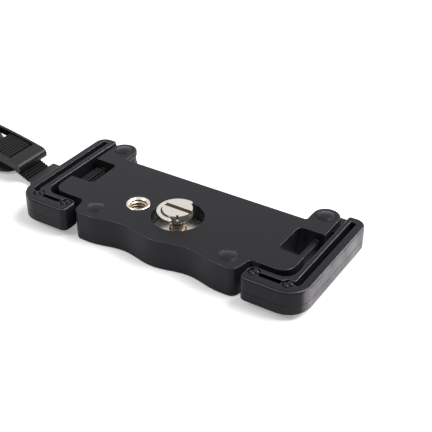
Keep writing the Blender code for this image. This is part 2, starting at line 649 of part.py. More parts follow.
def d_ring(metal, pivot):
    """Folding ring round one side of the head, with a pin into each side of it."""
    outer_r = RING_INNER_R + RING_WIDTH
    middle_r = RING_INNER_R + RING_WIDTH / 2
    tail = RING_TAIL - RING_WIDTH / 2
    outline = arc((0, 0), outer_r, math.pi / 2, 1.5 * math.pi, RING_STEPS)
    outline += arc((tail, -middle_r), RING_WIDTH / 2, -math.pi / 2, math.pi / 2, TIP_STEPS)
    outline += arc((0, 0), RING_INNER_R, 1.5 * math.pi, math.pi / 2, RING_STEPS)
    outline += arc((tail, middle_r), RING_WIDTH / 2, -math.pi / 2, math.pi / 2, TIP_STEPS)
    ring = prism("d_ring", outline, RING_TOP - RING_THICKNESS, RING_TOP, metal,
                 top_edge=RING_EDGE, bottom_edge=RING_EDGE, low_segments=2)
    for side in (1, -1):
        tag = "back" if side > 0 else "front"
        pin = arc((0, RING_PIVOT_Z), RING_PIN_R, 0, 2 * math.pi, BORE_STEPS)[:-1]
        near = side * (SCREW_HEAD_R - RING_PIN_DEPTH)
        far = side * (outer_r - RING_WIDTH / 2)
        join(ring, side_slab("ring_pin_" + tag, pin, min(near, far), max(near, far)))
    for piece in [ring] + [step.object for step in ring.modifiers]:
        piece.data.transform(Matrix.Translation((0, 0, -RING_PIVOT_Z)))
        piece.parent = pivot
    return ring


def keeper_line(x, height):
    """Height of a line through the keeper that climbs away from the plate."""
    return height + (KEEPER_START_X - x) * math.tan(KEEPER_SLOPE)


def slider_point(along, above):
    """A point of the slider's side view: along its bowed length, above its top."""
    share = along / SLIDER_LENGTH
    height = above + 4 * SLIDER_BOW * share * (1 - share)
    x = SLIDER_X - along * math.cos(SLIDER_SLOPE) + height * math.sin(SLIDER_SLOPE)
    z = SLIDER_Z + along * math.sin(SLIDER_SLOPE) + height * math.cos(SLIDER_SLOPE)
    return (x, z)


def slider_path(points):
    return [(*slider_point(along, above), radius) for along, above, radius in points]


def slider_outline(corners):
    """An outline in the slider's own lengths and heights, bent to the slider's bow."""
    flat = rounded(corners)
    bowed = []
    for point, after in zip(flat, flat[1:] + flat[:1]):
        steps = max(1, math.ceil(math.dist(point, after) / SLIDER_BOW_STEP - 0.001))
        for step in range(steps):
            share = step / steps
            bowed.append(slider_point(point[0] + (after[0] - point[0]) * share,
                                      point[1] + (after[1] - point[1]) * share))
    return bowed


def pad_thickness(share):
    """Thickness of the pad along its length, thinner towards its tips."""
    crown = math.sin(math.pi * share)
    return PAD_EDGE_THICKNESS + (PAD_THICKNESS - PAD_EDGE_THICKNESS) * crown


def pad_under(share):
    """Underside of the pad's middle line: both tips on the table, the middle arched."""
    x = PAD_TIP_X - PAD_LENGTH * share
    return (x, PAD_ARCH * math.sin(math.pi * share) ** 2)


def pad_over(share, lift=0.0):
    x, z = pad_under(share)
    return (x, z + pad_thickness(share) + lift)


def pad_half_width(share):
    """Half the pad's width: narrow tips that swell into a broad middle."""
    swell = math.sin(math.pi * share) ** 2
    round_tip = min(share, 1 - share) * PAD_LENGTH
    nose = PAD_TIP_HALF_WIDTH
    if round_tip < nose:
        nose = math.sqrt(max(nose ** 2 - (nose - round_tip) ** 2, 0.0)) + PAD_TIP_BLUNT
    return nose + (PAD_HALF_WIDTH - PAD_TIP_HALF_WIDTH) * swell


def webbing(fabric):
    """Strap webbing: looped round the left cross bar, held in the keeper, laced through the slider."""
    half = WEB_THICKNESS / 2
    loop_outer_x = -BAR_OUTER_X - GAP - half
    loop_inner_x = -BAR_INNER_X + GAP + half
    loop_top_z = BAR_TOP + GAP + half
    lift_x = -ARM_OUTER_X + WEB_LIFT_INSET
    end_x = KEEPER_END_X + WEB_END_SHORT
    leave_x = KEEPER_END_X - WEB_KEEPER_OVERRUN
    corners = [(end_x, keeper_line(end_x, KEEPER_UPPER_Z), 0),
               (KEEPER_START_X, KEEPER_UPPER_Z, WEB_LIFT_BEND_R), (lift_x, WEB_UPPER_Z, WEB_LIFT_BEND_R),
               (loop_outer_x, WEB_UPPER_Z, WEB_BEND_R), (loop_outer_x, loop_top_z, WEB_BEND_R),
               (loop_inner_x, loop_top_z, WEB_BEND_R), (loop_inner_x, WEB_LOWER_Z, WEB_BEND_R),
               (lift_x, WEB_LOWER_Z, WEB_LIFT_BEND_R), (KEEPER_START_X, KEEPER_LOWER_Z, WEB_LIFT_BEND_R),
               (leave_x, keeper_line(leave_x, KEEPER_LOWER_Z), WEB_LIFT_BEND_R)]
    over = -SLIDER_MIDDLE_DROP + GAP + half
    under = -SLIDER_RAIL_HEIGHT - GAP - half
    first_gap = SLIDER_END_BAR + SLIDER_THREADING_GAP / 2
    second_gap = SLIDER_END_BAR + SLIDER_THREADING_GAP + SLIDER_MIDDLE_BAR + GAP + half
    corners += slider_path([(SLIDER_END_BAR - SLIDER_LACE_SETBACK, -SLIDER_LACE_DIP, SLIDER_LACE_DIP_R),
                            (first_gap, over, SLIDER_LACE_BEND_R), (second_gap, over, WEB_BEND_R),
                            (second_gap, under, WEB_BEND_R), (second_gap - WEB_TAIL_LENGTH, under, 0)])
    outline = ribbon_outline(rounded(corners, closed=False), WEB_THICKNESS)
    return side_slab("adjusting_webbing", outline, WEB_Y - WEB_WIDTH / 2, WEB_Y + WEB_WIDTH / 2, fabric)


def keeper(plastic):
    """Flat sleeve that holds the webbing's two layers together beside the arm."""
    outline = []
    for x, height in ((KEEPER_START_X, 0), (KEEPER_START_X, KEEPER_HEIGHT),
                      (KEEPER_END_X, KEEPER_HEIGHT), (KEEPER_END_X, 0)):
        outline.append((x, keeper_line(x, height)))
    half = WEB_WIDTH / 2 + GAP
    outside = half + KEEPER_SIDE_WALL
    sleeve = side_slab("strap_keeper", outline, WEB_Y - outside, WEB_Y + outside, plastic, edge=KEEPER_EDGE)
    hollow = []
    ceiling = KEEPER_HEIGHT - KEEPER_WALL
    for x, height in ((KEEPER_START_X + PAST, KEEPER_WALL), (KEEPER_START_X + PAST, ceiling),
                      (KEEPER_END_X - PAST, ceiling), (KEEPER_END_X - PAST, KEEPER_WALL)):
        hollow.append((x, keeper_line(x, height)))
    cut(sleeve, side_slab("keeper_hollow_cutter", hollow, WEB_Y - half, WEB_Y + half))
    return sleeve


def slider_slab(name, corners, half_width, finish_material=None):
    outline = slider_outline(corners)
    return side_slab(name, outline, WEB_Y - half_width, WEB_Y + half_width, finish_material)


def slider(plastic):
    """Ladder slider: side rails, two end bars with turned-down lips and a lower middle bar."""
    long = SLIDER_LENGTH
    lip = SLIDER_LIP
    taper = SLIDER_LIP + SLIDER_LIP_TAPER
    frame = slider_slab("ladder_slider", [
        (0, -SLIDER_END_DROP, SLIDER_LIP_R), (0, 0, SLIDER_END_R), (long, 0, SLIDER_END_R),
        (long, -SLIDER_END_DROP, SLIDER_LIP_R), (long - lip, -SLIDER_END_DROP, SLIDER_LIP_R),
        (long - taper, -SLIDER_RAIL_HEIGHT, 0), (taper, -SLIDER_RAIL_HEIGHT, 0),
        (lip, -SLIDER_END_DROP, SLIDER_LIP_R)], SLIDER_WIDTH / 2, plastic)
    inner = SLIDER_WIDTH / 2 - SLIDER_RAIL
    below = -SLIDER_END_DROP - PAST
    bar = SLIDER_END_BAR
    web = taper + GAP
    cut(frame, slider_slab("slider_window_cutter", [
        (bar, PAST, 0), (long - bar, PAST, 0), (long - bar, -SLIDER_SKIN, 0), (long - web, -SLIDER_SKIN, 0),
        (long - web, below, 0), (web, below, 0), (web, -SLIDER_SKIN, 0), (bar, -SLIDER_SKIN, 0)], inner))
    start = SLIDER_END_BAR + SLIDER_THREADING_GAP
    stop = start + SLIDER_MIDDLE_BAR
    bar_low = -SLIDER_RAIL_HEIGHT + GAP / 2
    join(frame, slider_slab("slider_middle_bar", [
        (start, -SLIDER_MIDDLE_DROP, SLIDER_BAR_R), (stop, -SLIDER_MIDDLE_DROP, SLIDER_BAR_R),
        (stop, bar_low, SLIDER_BAR_R), (start, bar_low, SLIDER_BAR_R)], inner + SLIDER_RAIL / 2))
    return frame


def anchor_loop(fabric):
    """Short webbing loop that ties the slider's far bar to the top of the pad."""
    half = WEB_THICKNESS / 2
    lower = GAP + half
    upper = lower + WEB_PITCH
    near = SLIDER_LENGTH - SLIDER_END_BAR - lower
    far = SLIDER_LENGTH + lower
    middle = (ANCHOR_SEAM_START + ANCHOR_SEAM_END) / 2
    corners = [(*pad_over(ANCHOR_SEAM_END, lower), 0), (*pad_over(ANCHOR_SEAM_START, lower), ANCHOR_LIE_R)]
    corners += slider_path([(near, -SLIDER_END_DROP - ANCHOR_BAR_DROP, ANCHOR_BAR_BEND_R),
                            (near, lower, ANCHOR_BAR_BEND_R), (far, lower, ANCHOR_TOP_R),
                            (far + ANCHOR_NOSE, -ANCHOR_NOSE_DROP, ANCHOR_TOP_R)])
    corners += [(*pad_over(middle, upper), ANCHOR_LIE_R), (*pad_over(ANCHOR_SEAM_END, upper), 0)]
    outline = ribbon_outline(rounded(corners, closed=False), WEB_THICKNESS)
    return side_slab("anchor_loop", outline, WEB_Y - WEB_WIDTH / 2, WEB_Y + WEB_WIDTH / 2, fabric)


def pad_section(half, thick):
    """Cross section of the pad, from one rounded lower edge round to the other side."""
    round_height = PAD_ROUND_SHARE * PAD_EDGE_THICKNESS
    foot = half - PAD_ROUND_SHARE * min(PAD_EDGE_THICKNESS, half)
    side = PAD_EDGE_THICKNESS - round_height
    crown = PAD_CROWN_SHARE * half
    return [(-half, round_height), (-foot, 0), (foot, 0), (half, round_height),
            (half, side), (crown, thick), (-crown, thick), (-half, side)]


def hand_pad(leather):
    """Arched cushion for the back of the hand, lying on both of its tips."""
    bm = bmesh.new()
    rings = []
    for station in range(PAD_STATIONS + 1):
        share = 0.5 - 0.5 * math.cos(math.pi * station / PAD_STATIONS)
        x, low = pad_under(share)
        section = pad_section(pad_half_width(share), pad_thickness(share))
        rings.append([bm.verts.new((x, WEB_Y + across, low + up)) for across, up in section])
    for near, far in zip(rings, rings[1:]):
        for index in range(len(near)):
            after = (index + 1) % len(near)
            bm.faces.new((near[index], near[after], far[after], far[index]))
    bm.faces.new(rings[0])
    bm.faces.new(rings[-1])
    return finish(bm, "hand_pad", leather, smooth_angle=60)


def camera_loop_corners():
    """Middle line of the narrow loop at the pad's far tip, which lies on the table."""
    half = WEB_THICKNESS / 2
    tip_x = PAD_TIP_X - PAD_LENGTH
    start_x = tip_x - LOOP_TOUCHDOWN
    end_x = tip_x - LOOP_LENGTH
    high = half + 2 * LOOP_END_R
    bend = LOOP_END_R - LOOP_END_BLUNT
    return [(*pad_over(LOOP_SEAM, GAP + half), 0), (*pad_over(LOOP_LIP, LOOP_LIP_LIFT + half), LOOP_LIP_R),
            (start_x, half, LOOP_TOUCHDOWN_R), (end_x, half, bend), (end_x, high, bend),
            (start_x - LOOP_BELLY, high, LOOP_BELLY_R), (start_x - LOOP_FLAT, half + WEB_PITCH, 0)]


def camera_loop(fabric):
    outline = ribbon_outline(rounded(camera_loop_corners(), closed=False), WEB_THICKNESS)
    return side_slab("camera_loop_webbing", outline, WEB_Y - LOOP_WIDTH / 2, WEB_Y + LOOP_WIDTH / 2, fabric)


def main():
    clear_scene()
    body_plastic = material("satin black nylon", (0.045, 0.045, 0.048), 0.45)
    arm_plastic = material("satin black acetal", (0.045, 0.045, 0.048), 0.4)
    plug_plastic = material("glossy black plastic", (0.03, 0.03, 0.033), 0.25)
    nickel = material("nickel plated steel", (0.75, 0.72, 0.68), 0.2, 1.0)
    rubber = material("black rubber", (0.02, 0.02, 0.02), 0.8)
    nylon = material("natural nylon", (0.1, 0.1, 0.1), 0.5)
    fabric = material("black webbing", (0.02, 0.02, 0.02), 0.9)
    leather = material("black leather", (0.03, 0.03, 0.03), 0.6)
    base_plate(body_plastic)
    face_pad(rubber)
    for side, tag in ((1, "right"), (-1, "left")):
        arm_frame(side, tag, arm_plastic)
        arm_cover(side, tag, arm_plastic)
        ear_pin(side, tag, plug_plastic)
        plug(side, tag, plug_plastic)
        for name, place in arm_screw_places(side):
            arm_screw("arm_screw_" + name + "_" + tag, place, plug_plastic)
    thread_insert(nickel)
    tapped_disc(nickel)
    travel = bpy.data.objects.new("screw_travel", None)
    bpy.context.scene.collection.objects.link(travel)
    thrust_washer(nylon).parent = travel
    ring_pivot = bpy.data.objects.new("ring_pivot", None)
    bpy.context.scene.collection.objects.link(ring_pivot)
    camera_screw(nickel, travel)
    ring_pivot.parent = travel
    ring_pivot.location = (0, 0, RING_PIVOT_Z)
    d_ring(nickel, ring_pivot)
    webbing(fabric)
    keeper(plug_plastic)
    slider(plug_plastic)
    anchor_loop(fabric)
    hand_pad(leather)
    camera_loop(fabric)


main()
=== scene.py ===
# %% [markdown]
# # A camera hand grip strap
#
# The object is a flat moulded plate that screws to the tripod socket of a camera. It has a wavy
# front for the fingers, an L-shaped arm at each end, a captive screw with a folding ring, and an
# adjustable strap that leads to a leather pad for the back of the hand.
#
# The CAD model gives every piece its shape and place. This script dresses those pieces: it rounds
# their edges, gives them the finish of the real material, and remakes the threads, the straps and
# the pad in finer detail.

import json
import math

import bmesh
import bpy
import numpy as np
from mathutils import Matrix
from mathutils import Vector
from mathutils.bvhtree import BVHTree
from mathutils.kdtree import KDTree


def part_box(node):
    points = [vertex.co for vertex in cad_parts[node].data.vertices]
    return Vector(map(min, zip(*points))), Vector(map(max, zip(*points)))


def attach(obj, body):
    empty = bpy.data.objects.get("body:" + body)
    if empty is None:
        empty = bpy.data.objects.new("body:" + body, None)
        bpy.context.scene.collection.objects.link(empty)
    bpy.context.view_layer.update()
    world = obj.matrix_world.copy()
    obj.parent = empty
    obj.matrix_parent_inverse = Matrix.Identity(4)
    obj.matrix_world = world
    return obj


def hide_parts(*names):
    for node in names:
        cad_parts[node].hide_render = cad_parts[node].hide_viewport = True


MM = 0.001
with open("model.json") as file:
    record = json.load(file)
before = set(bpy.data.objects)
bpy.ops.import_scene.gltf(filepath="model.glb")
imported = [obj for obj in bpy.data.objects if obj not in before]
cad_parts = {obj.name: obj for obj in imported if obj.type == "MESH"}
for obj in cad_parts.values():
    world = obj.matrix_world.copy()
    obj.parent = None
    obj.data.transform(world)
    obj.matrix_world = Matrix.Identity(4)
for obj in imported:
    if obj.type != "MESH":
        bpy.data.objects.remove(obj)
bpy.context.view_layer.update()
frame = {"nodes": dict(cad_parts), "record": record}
print("pieces in the CAD frame:", len(frame["nodes"]))

# %% [markdown]
# ## Small helpers
#
# Colours are written as sRGB hex values, as an eye or a paint chart gives them, and one function
# turns them into the linear numbers that a shader wants. One more adds a node to a material with
# its settings and its links, so that each finish below reads as a short recipe.

# %% Colour and node helpers
def linear(hex_colour):
    """sRGB hex colour to the linear RGBA of a shader socket."""
    values = []
    for start in (0, 2, 4):
        part = int(hex_colour[start:start + 2], 16) / 255
        values.append(part / 12.92 if part <= 0.04045 else ((part + 0.055) / 1.055) ** 2.4)
    return (*values, 1.0)


def node(material, kind, settings=None, inputs=None):
    """Add a shader node; an input is a value, or an output socket to link from."""
    tree = material.node_tree
    made = tree.nodes.new("ShaderNode" + kind)
    for name, value in (settings or {}).items():
        setattr(made, name, value)
    for name, value in (inputs or {}).items():
        socket = made.inputs[name]
        if isinstance(value, bpy.types.NodeSocket):
            tree.links.new(value, socket)
        else:
            socket.default_value = value
    return made


def link(material, output, socket):
    material.node_tree.links.new(output, socket)


def new_material(name):
    """A material whose node tree is still empty."""
    material = bpy.data.materials.new(name)
    material.use_nodes = True
    material.node_tree.nodes.clear()
    return material


def finish_surface(material, shader):
    """Link a shader to the material's output."""
    node(material, "OutputMaterial", inputs={"Surface": shader})
    return material


def object_point(material):
    """The place on the object in metres, as every texture below reads it."""
    return node(material, "TexCoord").outputs["Object"]


# %% [markdown]
# ## The plastics
#
# The plate and the arms are injection moulded nylon in satin black. A spark-eroded mould leaves a
# very fine even grain, which the eye reads as a soft sheen rather than as dots. The grain is real
# at about 0.1 mm, too fine for the picture, so it is drawn at 0.35 mm. Glass-filled nylon also
# varies a little in gloss over centimetres, which a slow noise in the roughness gives.
#
# Use has left fine scratches on the outer walls of the arms. They run along the wall, they are
# heavier in some patches than in others, and the arms' flat tops have none. Their light grey also
# lightens these walls as a painted sheen of the light that falls on them from the side.

# %% Scratches of use and painted sheen
# This light grey paints fine scratches and a painted sheen on the arms' outer walls.
SCRATCH_AND_SHEEN_GREY = "8c888c"
SCRATCH_MM = 0.3
SCRATCH_STRETCH = (1.0, 0.05, 1.0)
SCRATCH_PATCH_MM = 9
SCRATCH_AND_SHEEN_FADE_MM = 1.4


def scratched_with_sheen(material, point, tint, from_mm):
    """Mix long fine scratches, whose light grey is also a painted sheen, over a tint where an upright
    wall lies farther out than from_mm.
    """
    links = material.node_tree.links
    split = node(material, "SeparateXYZ", inputs={"Vector": point})
    reach = node(material, "Math", {"operation": "ABSOLUTE"})
    links.new(split.outputs["X"], reach.inputs[0])
    outside = node(material, "MapRange", {"interpolation_type": "SMOOTHSTEP"}, inputs={
        "Value": reach.outputs["Value"], "From Min": from_mm * MM,
        "From Max": (from_mm + SCRATCH_AND_SHEEN_FADE_MM) * MM})
    stretched = node(material, "Mapping", inputs={"Vector": point, "Scale": SCRATCH_STRETCH})
    lines = node(material, "TexNoise", inputs={
        "Vector": stretched.outputs["Vector"], "Scale": 1 / (SCRATCH_MM * MM),
        "Detail": 3.0, "Roughness": 0.7})
    patch = node(material, "TexNoise", inputs={
        "Vector": point, "Scale": 1 / (SCRATCH_PATCH_MM * MM), "Detail": 2.0})
    heavy = node(material, "MapRange", inputs={
        "Value": patch.outputs["Fac"], "From Min": 0.25, "From Max": 0.75,
        "To Min": 0.35, "To Max": 1.0})
    fine = node(material, "MapRange", inputs={
        "Value": lines.outputs["Fac"], "From Min": 0.3, "From Max": 0.7,
        "To Min": 0.25, "To Max": 1.0})
    scratch_sheen = node(material, "Math", {"operation": "MULTIPLY"})
    links.new(heavy.outputs["Result"], scratch_sheen.inputs[0])
    links.new(fine.outputs["Result"], scratch_sheen.inputs[1])
    facing = node(material, "SeparateXYZ", inputs={
        "Vector": node(material, "TexCoord").outputs["Normal"]})
    lying = node(material, "Math", {"operation": "ABSOLUTE"})
    links.new(facing.outputs["Z"], lying.inputs[0])
    upright = node(material, "MapRange", {"interpolation_type": "SMOOTHSTEP"}, inputs={
        "Value": lying.outputs["Value"], "From Min": 0.3, "From Max": 0.8,
        "To Min": 1.0, "To Max": 0.0})
    wall = node(material, "Math", {"operation": "MULTIPLY"})
    links.new(outside.outputs["Result"], wall.inputs[0])
    links.new(upright.outputs["Result"], wall.inputs[1])
    share = node(material, "Math", {"operation": "MULTIPLY"})
    links.new(wall.outputs["Value"], share.inputs[0])
    links.new(scratch_sheen.outputs["Value"], share.inputs[1])
    # The outer walls are mixed towards the light grey: scratches and painted sheen.
    mix = node(material, "Mix", {"data_type": "RGBA"})
    mix.inputs[7].default_value = linear(SCRATCH_AND_SHEEN_GREY)
    links.new(share.outputs["Value"], mix.inputs[0])
    links.new(tint, mix.inputs[6])
    return mix.outputs[2]


# %% Moulded plastic finish
CLOUD_MM = 14
CLOUD_GLOSS = 0.05


def moulded_plastic(name, colour, roughness, grain_mm, grain_depth_mm, specular=0.2,
                    scratch_and_sheen_from_mm=None):
    """Moulded plastic; walls farther out along x than scratch_and_sheen_from_mm get scratches and
    painted sheen.
    """
    material = new_material(name)
    point = object_point(material)
    grain = node(material, "TexNoise", inputs={
        "Vector": point, "Scale": 1 / (grain_mm * MM), "Detail": 3.0, "Roughness": 0.6})
    cloud = node(material, "TexNoise", inputs={
        "Vector": point, "Scale": 1 / (CLOUD_MM * MM), "Detail": 2.0, "Roughness": 0.5})
    gloss = node(material, "MapRange", inputs={
        "Value": cloud.outputs["Fac"], "To Min": roughness - CLOUD_GLOSS,
        "To Max": roughness + CLOUD_GLOSS})
    shade = node(material, "Mix", {"data_type": "RGBA"})
    shade.inputs[6].default_value = linear(colour[0])
    shade.inputs[7].default_value = linear(colour[1])
    link(material, grain.outputs["Fac"], shade.inputs[0])
    tint = shade.outputs[2]
    if scratch_and_sheen_from_mm:
        tint = scratched_with_sheen(material, point, tint, scratch_and_sheen_from_mm)
    bump = node(material, "Bump", inputs={
        "Height": grain.outputs["Fac"], "Strength": 0.5, "Distance": grain_depth_mm * MM})
    shader = node(material, "BsdfPrincipled", inputs={
        "Base Color": tint, "Roughness": gloss.outputs["Result"], "IOR": 1.5,
        "Specular IOR Level": specular, "Normal": bump.outputs["Normal"]})
    return finish_surface(material, shader.outputs["BSDF"])


PLATE_NYLON = moulded_plastic(
    "satin moulded nylon", ("141418", "1c1c21"),
    roughness=0.42, grain_mm=0.35, grain_depth_mm=0.012, specular=0.15)
# The arms' outer walls take scratches and a painted sheen.
ARM_NYLON = moulded_plastic(
    "satin moulded nylon of the arms", ("131317", "1b1b20"),
    roughness=0.36, grain_mm=0.35, grain_depth_mm=0.010, specular=0.14, scratch_and_sheen_from_mm=62.2)
# The lighter colour of these bevel finishes is a painted highlight along the edges.
EDGE_HIGHLIGHT_NYLON = moulded_plastic(
    "painted highlight nylon edge", ("2a2a2e", "343438"),
    roughness=0.3, grain_mm=0.35, grain_depth_mm=0.004, specular=1.0)
ARM_EDGE_HIGHLIGHT_NYLON = moulded_plastic(
    "painted highlight nylon edge of the arms", ("222226", "2b2b2f"),
    roughness=0.3, grain_mm=0.35, grain_depth_mm=0.004, specular=0.6)
PLUG_ACETAL = moulded_plastic(
    "semi gloss acetal", ("121215", "18181c"),
    roughness=0.3, grain_mm=0.5, grain_depth_mm=0.004, specular=0.22)
WASHER_NYLON = moulded_plastic(
    "plain nylon washer", ("2b2b2c", "333335"), roughness=0.5, grain_mm=0.5, grain_depth_mm=0.01)
SLIDER_ACETAL = moulded_plastic(
    "glossy moulded acetal", ("121213", "1a1a1c"),
    roughness=0.32, grain_mm=0.5, grain_depth_mm=0.006, specular=0.24)
print("materials with the plastics:", len(bpy.data.materials))

# %% [markdown]
# ## Nickel plate
#
# The screw, the ring, the bush and the disc are steel with bright nickel plate. Nickel is slightly
# warmer than chrome. The plate is smooth, but turning marks and handling leave fine waves in it.

# %% Nickel finish
def nickel_plate(name, colour, roughness, wave_mm, metallic=1.0):
    """Bright metal whose gloss and surface vary in waves of about wave_mm."""
    material = new_material(name)
    point = object_point(material)
    wave = node(material, "TexNoise", inputs={
        "Vector": point, "Scale": 1 / (wave_mm * MM), "Detail": 4.0, "Roughness": 0.55})
    gloss = node(material, "MapRange", inputs={
        "Value": wave.outputs["Fac"], "To Min": roughness * 0.7, "To Max": roughness * 1.5})
    bump = node(material, "Bump", inputs={
        "Height": wave.outputs["Fac"], "Strength": 0.35, "Distance": 0.02 * MM})
    shader = node(material, "BsdfPrincipled", inputs={
        "Base Color": linear(colour), "Metallic": metallic, "Roughness": gloss.outputs["Result"],
        "Normal": bump.outputs["Normal"]})
    return finish_surface(material, shader.outputs["BSDF"])


NICKEL = nickel_plate("bright nickel plate", "d9d5cd", roughness=0.2, wave_mm=1.6)
DISC_NICKEL = nickel_plate("dull nickel plate", "d8d4ca", roughness=0.22, wave_mm=1.2)
SIDE_NICKEL = nickel_plate(
    "tumbled nickel plate", "8f8c88", roughness=0.45, wave_mm=0.9, metallic=0.9)
# The threads are painted darker and browner than the plate: painted shade in the bore and under the
# head, with a painted brownish reflection.
SHADED_THREAD_NICKEL = nickel_plate(
    "nickel thread with painted shade", "b39f8d", roughness=0.3, wave_mm=0.8)
SLOT_STEEL = nickel_plate(
    "bare steel of a sawn slot", "857568", roughness=0.5, wave_mm=0.6, metallic=0.7)
print("materials with the metals:", len(bpy.data.materials))

# %% [markdown]
# ## Rubber, webbing and leather
#
# The friction pad is moulded rubber with a fine diamond grip. The strap is woven nylon webbing:
# ribs lie across it, and each rib is a row of short thread floats. The hand pad is soft black
# leather with a pebble grain.

# %% Rubber finish
WAVE_RADIANS = 20
GRIP_WAVE_MM = 1.6


def grip_rubber():
    """Two crossed waves make diamonds; each wave repeats after 2 pi times GRIP_WAVE_MM."""
    material = new_material("moulded rubber with a diamond grip")
    point = object_point(material)
    turned = node(material, "Mapping", inputs={
        "Vector": point, "Rotation": (0, 0, math.radians(45))})
    ribs = node(material, "TexWave", {"bands_direction": "X"}, inputs={
        "Vector": turned.outputs["Vector"], "Scale": 1 / (WAVE_RADIANS * GRIP_WAVE_MM * MM)})
    cross = node(material, "TexWave", {"bands_direction": "Y"}, inputs={
        "Vector": turned.outputs["Vector"], "Scale": 1 / (WAVE_RADIANS * GRIP_WAVE_MM * MM)})
    grid = node(material, "Math", {"operation": "MINIMUM"})
    link(material, ribs.outputs["Fac"], grid.inputs[0])
    link(material, cross.outputs["Fac"], grid.inputs[1])
    bump = node(material, "Bump", inputs={
        "Height": grid.outputs["Value"], "Strength": 0.7, "Distance": 0.25 * MM})
    dust = node(material, "TexNoise", inputs={
        "Vector": point, "Scale": 1 / (3 * MM), "Detail": 4.0})
    shade = node(material, "Mix", {"data_type": "RGBA"})
    shade.inputs[6].default_value = linear("191919")
    shade.inputs[7].default_value = linear("262626")
    link(material, dust.outputs["Fac"], shade.inputs[0])
    shader = node(material, "BsdfPrincipled", inputs={
        "Base Color": shade.outputs[2], "Roughness": 0.75, "Normal": bump.outputs["Normal"]})
    return finish_surface(material, shader.outputs["BSDF"])


RUBBER = grip_rubber()
print("made:", RUBBER.name)

# %% Webbing finish
RIB_MM = 1.3
FLOAT_MM = 1.25


def woven_webbing(name, rib_mm, float_mm):
    """Woven nylon: u runs along the strap and v across it, both in metres."""
    material = new_material(name)
    uv = node(material, "UVMap", {"uv_map": "strap"}).outputs["UV"]
    split = node(material, "SeparateXYZ", inputs={"Vector": uv})
    along = node(material, "Math", {"operation": "MULTIPLY"})
    link(material, split.outputs["X"], along.inputs[0])
    along.inputs[1].default_value = 2 * math.pi / (rib_mm * MM)
    across = node(material, "Math", {"operation": "MULTIPLY"})
    link(material, split.outputs["Y"], across.inputs[0])
    across.inputs[1].default_value = 2 * math.pi / (float_mm * MM)
    rib = node(material, "Math", {"operation": "COSINE"})
    link(material, along.outputs["Value"], rib.inputs[0])
    stagger = node(material, "Math", {"operation": "MULTIPLY_ADD"})
    link(material, along.outputs["Value"], stagger.inputs[0])
    stagger.inputs[1].default_value = 0.5
    link(material, across.outputs["Value"], stagger.inputs[2])
    thread = node(material, "Math", {"operation": "SINE"})
    link(material, stagger.outputs["Value"], thread.inputs[0])
    weave = node(material, "Math", {"operation": "MULTIPLY_ADD"})
    link(material, thread.outputs["Value"], weave.inputs[0])
    weave.inputs[1].default_value = 1.0
    link(material, rib.outputs["Value"], weave.inputs[2])
    bump = node(material, "Bump", inputs={
        "Height": weave.outputs["Value"], "Strength": 1.0, "Distance": 0.16 * MM})
    # The gaps between the ribs and the floats are painted darker: painted shade.
    lift = node(material, "MapRange", inputs={
        "Value": weave.outputs["Value"], "From Min": -0.9, "From Max": 1.4})
    sheen = node(material, "MapRange", inputs={
        "Value": weave.outputs["Value"], "From Min": -1.0, "From Max": 1.5,
        "To Min": 0.02, "To Max": 0.26})
    shade = node(material, "Mix", {"data_type": "RGBA"})
    shade.inputs[6].default_value = linear("050505")
    shade.inputs[7].default_value = linear("222223")
    link(material, lift.outputs["Result"], shade.inputs[0])
    shader = node(material, "BsdfPrincipled", inputs={
        "Base Color": shade.outputs[2], "Roughness": 0.55,
        "Specular IOR Level": sheen.outputs["Result"], "Normal": bump.outputs["Normal"]})
    return finish_surface(material, shader.outputs["BSDF"])


WEBBING = woven_webbing("woven nylon webbing", RIB_MM, FLOAT_MM)
print("made:", WEBBING.name)

# %% Leather finish
PEBBLE_MM = 1.1
PEBBLE_WARP = 0.0015
WARP_MM = 6


def pebbled_leather():
    """Cells of about PEBBLE_MM with creases between them, warped so that no row of them shows."""
    material = new_material("pebbled black leather")
    point = object_point(material)
    warp = node(material, "TexNoise", inputs={
        "Vector": point, "Scale": 1 / (WARP_MM * MM), "Detail": 2.0})
    drift = node(material, "Mix", {"data_type": "VECTOR"})
    drift.inputs[0].default_value = PEBBLE_WARP
    link(material, point, drift.inputs[4])
    link(material, warp.outputs["Color"], drift.inputs[5])
    pebble = node(material, "TexVoronoi", {"feature": "DISTANCE_TO_EDGE"}, inputs={
        "Vector": drift.outputs[1], "Scale": 1 / (PEBBLE_MM * MM)})
    crease = node(material, "MapRange", inputs={
        "Value": pebble.outputs["Distance"], "From Min": 0.0, "From Max": 0.25})
    bump = node(material, "Bump", inputs={
        "Height": crease.outputs["Result"], "Strength": 0.6, "Distance": 0.12 * MM})
    # The creases between the pebbles are painted darker: painted shade.
    shade = node(material, "Mix", {"data_type": "RGBA"})
    shade.inputs[6].default_value = linear("0b0b0c")
    shade.inputs[7].default_value = linear("1b1b1d")
    link(material, crease.outputs["Result"], shade.inputs[0])
    shader = node(material, "BsdfPrincipled", inputs={
        "Base Color": shade.outputs[2], "Roughness": 0.5, "Specular IOR Level": 0.22,
        "Normal": bump.outputs["Normal"]})
    return finish_surface(material, shader.outputs["BSDF"])


LEATHER = pebbled_leather()
print("made:", LEATHER.name)

# %% Thread finish
PLY_WAVE_MM = 0.35


